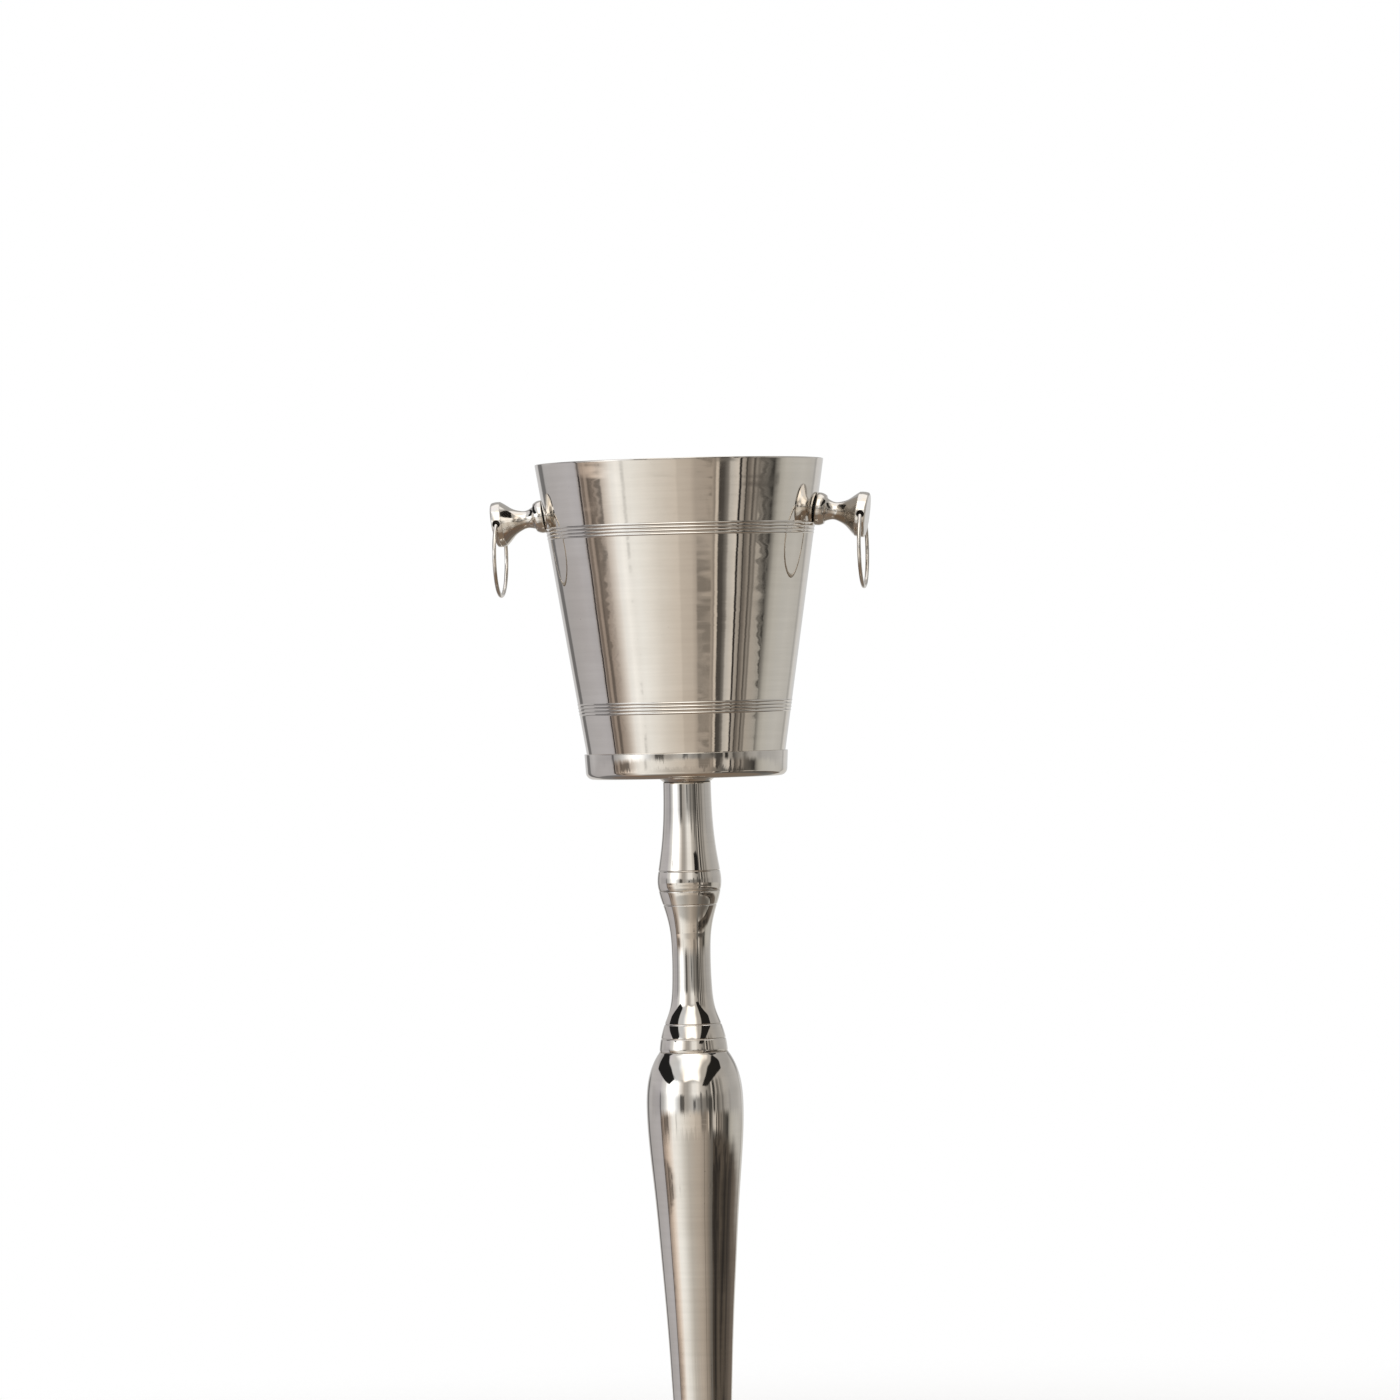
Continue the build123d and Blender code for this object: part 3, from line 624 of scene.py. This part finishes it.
def make_foot():
    """The domed foot: its upright band, its dome, its top and its hollow underside."""
    crest, top = (32.4, 56.4), 57.0
    edge = (132.5, 11.5)
    slope = [edge, (118.0, 21.0), (94.0, 31.5), (66.0, 40.0), (44.0, 48.0), crest]
    dome = smooth_line(slope, (-0.7, 1), (-1, 0.8))
    band = rounded([(137.0, 0), (145.0, 0), (145.0, 10.4), (134.5, 10.4), edge], [1.2, 6.0, 0.9], steps=10)
    under = [(14, top), (14, 49), (8, 49), (8, 47), (32, 47), (66, 35.5), (88, 28), (90, 19.5)]
    under += [(106, 19.5), (115, 17.5), (129, 6.5), (137, 6.5)]
    outline = band + dome[1:] + eased(crest[0], top, 1)[::-1][1:] + under
    shell = turned("foot_shell_cast", outline, low_z("foot_shell"), BROAD_ROUND)
    place_piece(shell, "foot_shell", CAST)


def make_pad():
    outline = rounded([(137.2, 3), (137.2, 0), (143.4, 0), (143.4, 3)], [0.8, 0.8], steps=4)
    pad = turned("floor_pad_moulded", outline, low_z("floor_pad_ring"))
    place_piece(pad, "floor_pad_ring", RUBBER)


# ---- The ring handles ----


def hinge(side_name):
    """The middle of a ring's swinging axis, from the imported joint."""
    joint = next(j for j in frame["joints"] if j["name"] == f"{side_name}_ring_swing")
    return Vector(joint["pos_m"])


def knob_matrix(side):
    """Local Z runs out along the knob from the wall, and local X is world Y."""
    way = Vector((side * math.cos(WALL_ANGLE), 0, -math.sin(WALL_ANGLE)))
    across = Vector((0, 1, 0))
    start = hinge("right" if side > 0 else "left") + UP * (HINGE_DROP * MM) - way * (HINGE_REACH * MM)
    turn = Matrix((across, way.cross(across), way)).transposed().to_4x4()
    return Matrix.Translation(start) @ turn


def bar(name, start, end, radius, around=48, end_radius=None):
    """A round bar between two points, to cut with."""
    way = (end - start).normalized()
    side = way.orthogonal().normalized()
    over = way.cross(side)
    vertices = []
    for spot, r in ((start, radius), (end, radius if end_radius is None else end_radius)):
        for a in circle(around):
            vertices.append(spot + side * (r * math.cos(a)) + over * (r * math.sin(a)))
    faces = [(k, (k + 1) % around, (k + 1) % around + around, k + around) for k in range(around)]
    faces.append(tuple(reversed(range(around))))
    faces.append(tuple(range(around, 2 * around)))
    return finished(name, vertices, faces)


def screw_hole(side):
    """The hole through the bucket's wall for a knob's screw."""
    place = knob_matrix(side)
    start, end = (place @ Vector((0, 0, height * MM)) for height in (-6, 4))
    return bar("hole", start, end, SCREW_CLEAR * MM)


def make_knob(side, side_name):
    """A turned spool with a slim waist and a broad flange, drilled from both sides for the ring's ends."""
    foot = [(2.5, 0.5), (13.5, 0.5), (14.0, 0.7), (14.3, 1.2), (14.3, 3.2)]
    shoulder = smooth_line([(14.3, 3.2), (13.7, 6.0), (12.3, 8.6)], (0, 1), (-0.6, 0.8), spacing=0.5)
    waist = smooth_line(
        [(10.9, 8.6), (8.5, 12.6), (7.6, 16.8), (8.6, 21.4), (11.5, 27.5), (16.0, 32.8), (19.0, 36.5)],
        (-0.75, 0.66),
        (0.6, 0.8),
        spacing=0.5,
    )
    crest, bulge = 41.1, 0.030
    crown_heights = (37.4, 38.2, 39.2, 40.2, crest, 42.0, 43.0, 44.0)
    crown = [(FLANGE_RADIUS - bulge * (height - crest) ** 2, height) for height in crown_heights]
    flange = [(19.0, 36.6), (19.4, 36.9), *crown, (19.4, 44.6), (18.0, KNOB_LENGTH), (0, KNOB_LENGTH)]
    face = rounded(flange, [0.2, *(0 for spot in crown), 0.8, 0.8])
    screw_bore = [(0, 15.5), (2.5, 15.5)]
    outline = foot + shoulder[1:] + [(11.9, 8.65)] + waist + face + screw_bore
    knob = turned(f"{side_name}_knob_spool", split_long(outline, 1.2), 0.0, 160)
    knob.data.transform(knob_matrix(side))
    # The flange's bores get the near-black finish with painted shade
    place_piece(cut(knob, ring_bores(side_name), KNOBS, PAINTED_SHADE_BORE), f"{side_name}_knob")


def ring_bores(side_name):
    """The shapes that drill a flange from both sides: a blind bore for the wire, its mouth and its lip."""
    bore, mouth, lip = 1.82 * MM, 3.1 * MM, 3.9 * MM
    axis = hinge(side_name)
    middle = axis + UP * (HINGE_DROP * MM)
    tools = []
    for way in (1, -1):
        out = Vector((0, way * MM, 0))
        tools.append(bar("bore", axis + out * 11, axis + out * 21, bore))
        tools.append(bar("mouth", middle + out * 15.8, middle + out * 22, mouth))
        tools.append(bar("lip", middle + out * 19.0, middle + out * 20.2, mouth, end_radius=lip))
    return tools


def make_ring(side_name):
    """The wire ring: straight ends in the flange's bores, a tight bend, then the round."""
    point = hinge(side_name)
    radius, drop, bend, end = 34.0, 27.5, 4.0, 12.0
    bend_y = math.sqrt((radius - bend) ** 2 - (drop - bend) ** 2)
    bend_angle = math.atan2(drop - bend, bend_y)
    straight_steps, bend_steps, round_steps = 6, 8, 70
    half = [(end + (bend_y - end) * k / straight_steps, 0.0) for k in range(straight_steps)]
    for k in range(bend_steps + 1):
        a = math.pi / 2 + (bend_angle - math.pi / 2) * k / bend_steps
        half.append((bend_y + bend * math.cos(a), bend * math.sin(a) - bend))
    for k in range(1, round_steps + 1):
        a = bend_angle - (bend_angle + math.pi / 2) * k / round_steps
        half.append((radius * math.cos(a), radius * math.sin(a) - drop))
    whole = half + [(-y, z) for y, z in reversed(half[:-1])]
    path = [point + Vector((0, y * MM, z * MM)) for y, z in whole]
    ring = tube(f"{side_name}_ring_wire", path, WIRE_RADIUS * MM, around=24)
    place_piece(ring, f"{side_name}_ring", WIRE, body=f"{side_name}_ring")


def make_knob_fastening(side, side_name):
    """The washer and socket screw inside the bucket."""
    place = knob_matrix(side)
    under_head, on_wall = -2.7, -1.5
    section = washer_outline(SCREW_CLEAR, 8, under_head, on_wall, [0.3, 0.15, 0], steps=3)
    disc = turned(f"{side_name}_washer_pressed", section, 0.0, 64)
    disc.data.transform(place)
    place_piece(disc, f"{side_name}_knob_washer", STEEL)

    shank, head, socket, tip, eased_from, ease = 2.45, 4.8, 1.5, 13.0, -4.6, 1.3
    outline = [(0, tip), (2.2, tip), (shank, 12.7), (shank, under_head), (4.5, under_head), (head, -3.0)]
    outline.append((head, eased_from))
    for k in range(1, 7):
        a = math.pi * k / 12
        outline.append((head - ease * (1 - math.cos(a)), eased_from - ease * math.sin(a)))
    outline += [(1.7, eased_from - ease), (socket, -5.7), (socket, -3.9), (0, -3.9)]
    screw = turned(f"{side_name}_screw_turned", outline[::-1], 0.0, 60)
    screw.data.transform(place)
    place_piece(screw, f"{side_name}_knob_screw", STEEL)


make_bucket()
make_base_pan()
make_collar()
make_clamp()
make_upper_stem()
make_middle_stem()
make_baluster()
make_neck()
make_foot()
make_pad()
for side, side_name in ((1, "right"), (-1, "left")):
    make_knob(side, side_name)
    make_ring(side_name)
    make_knob_fastening(side, side_name)

KEPT_FINISH = {
    "black_rubber": RUBBER,
    "steel": STEEL,
    "aluminium_bush": ALUMINIUM,
    "iron": IRON,
    "black_sheet": SHEET_PAINT,
}

for part in frame["record"]["subparts"]:
    material = KEPT_FINISH.get(part["material_slot"])
    if material:
        mesh = frame["nodes"][part["node"]].data
        mesh.materials.clear()
        mesh.materials.append(material)


# ---- The studio: a pale floor, and soft panels all round that the polished metal mirrors ----


def make_floor():
    """A round pale floor that fades out before its edge and is clear from below. The metal mirrors the
    studio instead of it."""
    radius, around = 2.5, 64
    fade_start, fade_end = 0.7, 2.4
    material, n = new_material("pale_floor")
    place = n.add("ShaderNodeTexCoord").outputs["Object"]
    cloud = n.noise(place, (2, 2, 2), detail=4)
    tone = n.mix(cloud, (0.90, 0.88, 0.85, 1), (0.86, 0.84, 0.81, 1))
    matt = n.add("ShaderNodeBsdfDiffuse", {"Color": tone})
    clear = n.add("ShaderNodeBsdfTransparent")
    reach = n.add("ShaderNodeVectorMath", {0: place}, operation="LENGTH").outputs["Value"]
    fade = n.between(reach, fade_start, fade_end)
    behind = n.add("ShaderNodeNewGeometry").outputs["Backfacing"]
    unseen = n.math("MAXIMUM", fade, behind)
    mixed = n.add("ShaderNodeMixShader", {0: unseen, 1: matt.outputs[0], 2: clear.outputs[0]})
    n.add("ShaderNodeOutputMaterial", {"Surface": mixed.outputs[0]})
    vertices = [(radius * math.cos(a), radius * math.sin(a), 0) for a in circle(around)]
    floor = finished("floor", vertices, [tuple(range(around))])
    floor.data.materials.append(material)
    floor.visible_glossy = False


# The room that the metal mirrors, in stops of a bearing, in degrees to the right of the camera, and the
# brightness there. Each table is one height of the room, and a height in three tables has one for each side
# and one for the front. LOW_TINTS and HIGH_TINTS colour them.
BELOW = (
    (-180, 0.30), (-140, 0.24), (-100, 0.22), (-80, 0.38), (-62, 0.80), (-46, 0.68), (-20, 0.48),
    (0, 0.50), (18, 0.34), (40, 0.22), (60, 0.15), (120, 0.14), (140, 0.20), (180, 0.30),
)
LEVEL_LEFT = (
    (-180, 0.68), (-157, 0.68), (-154, 0.20), (-145, 0.19), (-142, 0.50), (-122, 0.56), (-104, 0.60),
    (-95, 0.58), (-92.5, 0.48), (-91.5, 0.04), (-90.2, 0.05), (-89.4, 0.44), (-88.6, 0.20), (-86, 0.20),
    (-85, 0.36), (-83, 0.34), (-81.5, 0.15), (-79, 0.15), (-77.5, 0.34), (-72, 0.46), (-68, 0.62),
    (-62, 0.92), (-60, 1.04),
)
LEVEL_FRONT = (
    (-60, 1.04), (-53, 1.22), (-46, 1.10), (-41, 1.11), (-30, 0.99), (-20, 0.84), (-8, 0.74), (-3, 0.71),
    (-1.5, 0.62), (9, 0.57), (13, 0.46), (27, 0.43), (29.8, 0.28), (31, 0.66), (32.5, 0.66), (33.6, 0.07),
    (37.5, 0.09), (41, 0.24), (43, 0.60), (50, 0.74), (51, 0.02), (52.2, 0.02), (53.2, 0.46), (56, 0.36),
    (57, 0.03), (58.5, 0.17), (60, 0.18),
)
LEVEL_RIGHT = (
    (60, 0.18), (63, 0.34), (64.5, 0.07), (67, 0.32), (70, 0.15), (84, 0.05), (87, 0.26), (91, 0.46),
    (93, 0.51), (98, 0.59), (120, 0.64), (140, 0.58), (143, 0.46), (147, 0.47), (150, 0.72), (180, 0.68),
)
MIDDLE = (
    (-96, 0.40), (-92, 0.28), (-88, 0.42), (-80, 0.60), (-70, 0.90), (-60, 1.16), (-50, 1.14),
    (-40, 1.00), (-30, 0.78), (-20, 0.61), (-8, 0.56), (8, 0.50), (19, 0.40), (20, 0.22), (22, 0.38),
    (30, 0.27), (40, 0.17), (50, 0.10), (60, 0.09), (96, 0.16),
)
EYE_LEFT = (
    (-180, 0.66), (-157, 0.66), (-154, 0.22), (-145, 0.20), (-142, 0.50), (-132, 0.60), (-120, 0.52),
    (-104, 0.52), (-95, 0.50), (-92, 0.10), (-90, 0.48), (-82, 0.66), (-76, 0.95), (-70, 1.50),
    (-60, 1.90),
)
EYE_FRONT = (
    (-60, 1.90), (-52, 1.60), (-45, 1.05), (-38, 0.66), (-30, 0.46), (-18, 0.44), (-8, 0.58), (0, 0.58),
    (8, 0.34), (22, 0.26), (31, 0.20), (34, 0.08), (41, 0.08), (42.5, 0.44), (44, 0.44), (45, 0.03),
    (48, 0.05), (49.5, 0.42), (53, 0.36), (55, 0.10), (60, 0.24),
)
EYE_RIGHT = (
    (60, 0.24), (66, 0.36), (70, 0.20), (75, 0.40), (86, 0.48), (92, 0.40), (97, 0.48), (120, 0.52),
    (140, 0.62), (144, 0.46), (148, 0.74), (180, 0.66),
)
UPPER_LEFT = (
    (-180, 0.55), (-140, 0.62), (-94, 0.60), (-90, 0.72), (-78, 0.95), (-71, 1.90), (-60, 2.10),
)
UPPER_FRONT = (
    (-60, 2.10), (-44, 1.90), (-36, 1.10), (-26, 0.50), (-17, 0.48), (-10, 0.72), (-4, 1.08), (8, 1.10),
    (14, 0.70), (22, 0.52), (30, 0.36), (36, 0.20), (39, 0.16), (40.5, 0.66), (43, 0.62), (44.5, 0.04),
    (49, 0.06), (51, 0.50), (54, 0.44), (56, 0.16), (60, 0.24),
)
UPPER_RIGHT = (
    (60, 0.24), (64, 0.50), (66, 0.26), (72, 0.40), (76, 0.52), (100, 0.50), (140, 0.62), (152, 0.28),
    (162, 0.55), (180, 0.55),
)
LOW_TINTS = (
    (-180, (1.02, 1.00, 0.96)),
    (-140, (0.99, 0.98, 1.02)),
    (-94, (0.98, 0.98, 1.06)),
    (-88, (1.18, 0.98, 0.85)),
    (-76, (1.16, 0.99, 0.87)),
    (-58, (0.99, 1.00, 1.00)),
    (-40, (0.99, 1.00, 0.99)),
    (-16, (1.05, 1.00, 0.93)),
    (0, (1.10, 1.00, 0.89)),
    (28, (1.14, 1.00, 0.86)),
    (44, (1.04, 1.00, 0.94)),
    (60, (1.12, 1.00, 0.88)),
    (90, (1.02, 1.00, 0.93)),
    (110, (1.00, 1.00, 0.97)),
    (180, (1.02, 1.00, 0.96)),
)
HIGH_TINTS = (
    (-180, (1.00, 1.00, 1.00)),
    (-94, (0.98, 0.98, 1.06)),
    (-84, (0.98, 1.00, 1.03)),
    (-45, (0.95, 1.00, 1.06)),
    (-28, (1.05, 1.00, 0.94)),
    (0, (0.99, 1.00, 1.00)),
    (20, (1.04, 1.00, 0.94)),
    (60, (1.05, 1.00, 0.93)),
    (100, (1.00, 1.00, 1.00)),
    (180, (1.00, 1.00, 1.00)),
)
# Level smudges break up these low stretches of the room: bearings from and to, the rise where they are half
# closed, how fast they close above it (or open, below zero), and their brightness.
SMUDGES = (
    (-80, -69, -13.4, 0.10, 0.20),
    (-49, -46, -15.0, 0.04, 0.80),
    (14, 27, -16.4, 0.03, 0.24),
    (70, 86, -13.2, -0.14, 0.46),
)
# Upright dark strips stand in the room at about eye height: bearings from and to, rises from and to, and
# their brightness.
UPRIGHTS = (
    (-36, -25, -4.9, 5.5, 0.13),
    (-4, 2, -4.0, 2.2, 0.16),
    (13, 17, -5.0, 8.0, 0.16),
    (27, 31, -3.4, 10.0, 0.12),
)
# The ceiling, in strips that run from behind the object to over the camera: how far they slant, left edge,
# right edge, near end, far end and softness, all in room heights, and brightness.
CEILING = (
    (-0.10, -1.45, 0.10, -0.60, 2.30, 0.10, 0.80),
    (0.10, -0.10, 1.00, -0.60, 2.30, 0.10, 0.56),
    (-0.19, -0.41, 0.58, 0.25, 2.60, 0.24, 1.90),
    (0.29, -0.65, 0.16, 0.25, 2.60, 0.24, 1.90),
    (0.0, -0.60, 0.60, -0.60, 0.40, 0.10, 1.25),
    (-0.35, -3.10, -1.20, -1.05, 2.05, 0.09, 0.02),
    (0.25, 0.84, 1.80, -0.10, 3.30, 0.06, 0.02),
)
# Where one height of the room blends into the next, as rises in degrees
FEET_TO_BELOW = (-44, -38)
BELOW_TO_LEVEL = (-30, -24)
LEVEL_TO_EYE = (-6, -3)
EYE_TO_UPPER = (2, 8)
UPPER_TO_CEILING = (12.5, 15.0)
CEILING_FADES_IN = (16, 24)
# MIDDLE lies over LEVEL. It starts at this rise ahead, and this much higher for each squared degree aside,
# which is just above what the bucket's wall mirrors. It reaches to these bearings on both sides.
LEVEL_TO_MIDDLE = (-15.6, -15.0)
MIDDLE_BOW = 0.00058
MIDDLE_TO_LEVEL = (-10.6, -8.9)
MIDDLE_SIDES = (88, 95)
FEET_TONE = (0.24, 0.20, 0.17, 1)
CEILING_TONE = 0.48
# How far the room's edges wander, in degrees, and the ceiling's, in room heights
BEARING_WANDER = 1.6
RISE_WANDER = 4.0
RAGGED_WANDER = 7.0
SWAY = 0.30
SAG = 0.6


def grey(tone):
    return (tone, tone, tone, 1)


class Room:
    """The room's colours, for a ray that the metal mirrors. Bearings are degrees to the right of the camera
    and rises are degrees above the horizon. Both are a little uneven, so that no edge in it is ruled."""

    def __init__(self, n):
        self.n = n
        self.way = n.add("ShaderNodeTexCoord").outputs["Generated"]
        self.x, y, self.z = n.add("ShaderNodeSeparateXYZ", {0: self.way}).outputs[:3]
        self.front = n.math("MULTIPLY", y, -1.0)
        heading = n.math("MULTIPLY", n.math("ARCTAN2", self.x, self.front), 180 / math.pi)
        turns = n.math("DIVIDE", n.math("ADD", heading, 540.0 - VIEW_AZIMUTH), 360.0)
        exact_bearing = n.math("SUBTRACT", n.math("MULTIPLY", n.math("FRACT", turns), 360.0), 180.0)
        self.bearing = n.plus(exact_bearing, n.uneven(self.way, (6, 6, 16), detail=4), BEARING_WANDER)
        self.exact_rise = n.math("MULTIPLY", n.math("ARCSINE", self.z), 180 / math.pi)
        self.rise = n.plus(self.exact_rise, n.uneven(self.way, (14, 14, 4), detail=5), RISE_WANDER)
        self.ragged_rise = n.plus(self.rise, n.uneven(self.way, (60, 60, 3), detail=2), RAGGED_WANDER)

    def sweep(self, stops):
        """The colours or brightnesses round a stretch of the room."""
        start, end = stops[0][0], stops[-1][0]
        inputs = {"Value": self.bearing, "From Min": start, "From Max": end}
        share = self.n.add("ShaderNodeMapRange", inputs).outputs[0]
        colours = [(at, tone if isinstance(tone, tuple) else (tone, tone, tone)) for at, tone in stops]
        return self.n.ramp(share, [((at - start) / (end - start), (*colour, 1)) for at, colour in colours])

    def joined(self, left, centre, right):
        """One height of the room from its three stretches."""
        past_left = self.n.math("GREATER_THAN", self.bearing, centre[0][0])
        past_centre = self.n.math("GREATER_THAN", self.bearing, centre[-1][0])
        part = self.n.mix(past_left, self.sweep(left), self.sweep(centre))
        return self.n.mix(past_centre, part, self.sweep(right))

    def level(self):
        """The height that the bucket's wall and the low pan mirror, with its smudges."""
        n = self.n
        level = self.joined(LEVEL_LEFT, LEVEL_FRONT, LEVEL_RIGHT)
        layers = n.noise(self.way, (0.4, 0.4, 85), detail=1)
        for start, end, half, growth, tone in SMUDGES:
            grown = n.plus(layers, n.math("SUBTRACT", self.exact_rise, half), growth)
            share = n.math("MULTIPLY", n.window(self.bearing, start, end, 1.2), n.between(grown, 0.40, 0.60))
            level = n.mix(share, level, grey(tone))
        return level

    def middle_share(self):
        """1 in the strip that MIDDLE fills."""
        n = self.n
        bowed = n.plus(self.exact_rise, n.math("POWER", self.bearing, 2.0), -MIDDLE_BOW)
        below_end = n.between(self.ragged_rise, *MIDDLE_TO_LEVEL, 1.0, 0.0)
        aside = n.between(n.math("ABSOLUTE", self.bearing), *MIDDLE_SIDES, 1.0, 0.0)
        return n.math("MULTIPLY", n.math("MULTIPLY", n.between(bowed, *LEVEL_TO_MIDDLE), below_end), aside)

    def walls(self, upper):
        """All the room below its ceiling."""
        n = self.n
        low = n.mix(self.middle_share(), self.level(), self.sweep(MIDDLE))
        eye = self.joined(EYE_LEFT, EYE_FRONT, EYE_RIGHT)
        room = n.mix(n.between(self.rise, *LEVEL_TO_EYE), low, eye)
        room = n.mix(n.between(self.rise, *EYE_TO_UPPER), room, upper)
        for start, end, foot, top, tone in UPRIGHTS:
            upright = n.window(self.ragged_rise, foot, top, 1.6)
            share = n.math("MULTIPLY", n.window(self.bearing, start, end, 1.3), upright)
            room = n.mix(share, room, grey(tone))
        below = n.mix(n.between(self.rise, *FEET_TO_BELOW), FEET_TONE, self.sweep(BELOW))
        return n.mix(n.between(self.rise, *BELOW_TO_LEVEL), below, room)

    def ceiling(self, upper):
        """The ceiling, laid out flat at one room height above the object."""
        n = self.n
        height = n.math("MAXIMUM", self.z, 0.05)
        sway = n.uneven(self.way, (3, 3, 3), detail=0)
        sag = n.uneven(self.way, (2.5, 2.5, 4), detail=0)
        across = n.plus(n.math("DIVIDE", self.x, height), sway, SWAY)
        ahead = n.plus(n.math("DIVIDE", self.front, height), sag, SAG)
        ceiling = n.mix(n.between(self.rise, *CEILING_FADES_IN), upper, grey(CEILING_TONE))
        for slant, left, right, near, far, soft, tone in CEILING:
            sideways = n.plus(across, ahead, -slant)
            width = n.window(sideways, left, right, soft)
            share = n.math("MULTIPLY", width, n.window(ahead, near, far, soft))
            ceiling = n.mix(share, ceiling, grey(tone))
        return ceiling

    def tinted(self):
        """The whole room in its colours."""
        n = self.n
        upper = self.joined(UPPER_LEFT, UPPER_FRONT, UPPER_RIGHT)
        room = n.mix(n.between(self.rise, *UPPER_TO_CEILING), self.walls(upper), self.ceiling(upper))
        tints = n.mix(n.between(self.rise, *LEVEL_TO_EYE), self.sweep(LOW_TINTS), self.sweep(HIGH_TINTS))
        return n.mix(1.0, room, tints, "MULTIPLY")


def make_studio():
    """The world: the camera sees it white, and all else sees the room."""
    world = bpy.data.worlds.new("studio")
    bpy.context.scene.world = world
    world.use_nodes = True
    n = Nodes(world.node_tree)
    mirrored = n.add("ShaderNodeBackground", {"Color": Room(n).tinted(), "Strength": 1.0})
    seen = n.add("ShaderNodeBackground", {"Color": (1, 1, 1, 1), "Strength": 1.0})
    direct = n.add("ShaderNodeLightPath").outputs["Is Camera Ray"]
    both = n.add("ShaderNodeMixShader", {0: direct, 1: mirrored.outputs[0], 2: seen.outputs[0]})
    n.add("ShaderNodeOutputWorld", {"Surface": both.outputs[0]})
    bpy.context.scene.view_settings.view_transform = "Standard"


def make_low_screen():
    """A low dark screen to the right that only the metal sees. It darkens one side of the low column."""
    radius, foot, top, steps = 1.6, -0.12, 0.3, 48
    fade_start, fade_end = 0.14, 0.25
    first_bearing, sweep = 42, 110
    material, n = new_material("low_screen")
    place = n.add("ShaderNodeTexCoord").outputs["Object"]
    back, up = n.add("ShaderNodeSeparateXYZ", {0: place}).outputs[1:3]
    cloud = n.noise(place, (3, 3, 9), detail=4)
    tone = n.mix(n.between(cloud, 0.35, 0.65), (0.040, 0.036, 0.033, 1), (0.13, 0.11, 0.09, 1))
    tone = n.mix(n.between(back, 0.0, 1.5), tone, (0.21, 0.18, 0.155, 1))
    dark = n.add("ShaderNodeEmission", {"Color": tone, "Strength": 1.0})
    clear = n.add("ShaderNodeBsdfTransparent")
    fade = n.between(n.plus(up, cloud, 0.06), fade_start, fade_end)
    mixed = n.add("ShaderNodeMixShader", {0: fade, 1: dark.outputs[0], 2: clear.outputs[0]})
    n.add("ShaderNodeOutputMaterial", {"Surface": mixed.outputs[0]})
    vertices = []
    for k in range(steps + 1):
        bearing = math.radians(VIEW_AZIMUTH + first_bearing + sweep * k / steps)
        for z in (foot, top):
            vertices.append((radius * math.sin(bearing), -radius * math.cos(bearing), z))
    faces = [(2 * k, 2 * k + 1, 2 * k + 3, 2 * k + 2) for k in range(steps)]
    screen = finished("low_screen", vertices, faces)
    screen.data.materials.append(material)
    for seen_by in ("camera", "diffuse", "shadow", "transmission", "volume_scatter"):
        setattr(screen, f"visible_{seen_by}", False)


def make_camera():
    azimuth = math.radians(VIEW_AZIMUTH)
    away = Vector((math.sin(azimuth), -math.cos(azimuth), 0))
    right = Vector((math.cos(azimuth), math.sin(azimuth), 0))
    eye = away * VIEW_DISTANCE + UP * EYE_HEIGHT
    aim = right * VIEW_SIDE_OFFSET + UP * AIM_HEIGHT
    look = (aim - eye).to_track_quat("-Z", "Y").to_matrix().to_4x4()
    roll = Matrix.Rotation(math.radians(-VIEW_ROLL), 4, "Z")
    data = bpy.data.cameras.new("camera")
    data.lens = VIEW_LENS
    data.sensor_width = 36.0
    camera = bpy.data.objects.new("camera", data)
    camera.matrix_world = Matrix.Translation(eye) @ look @ roll
    bpy.context.scene.collection.objects.link(camera)
    bpy.context.scene.camera = camera


make_floor()
make_low_screen()
make_studio()
make_camera()
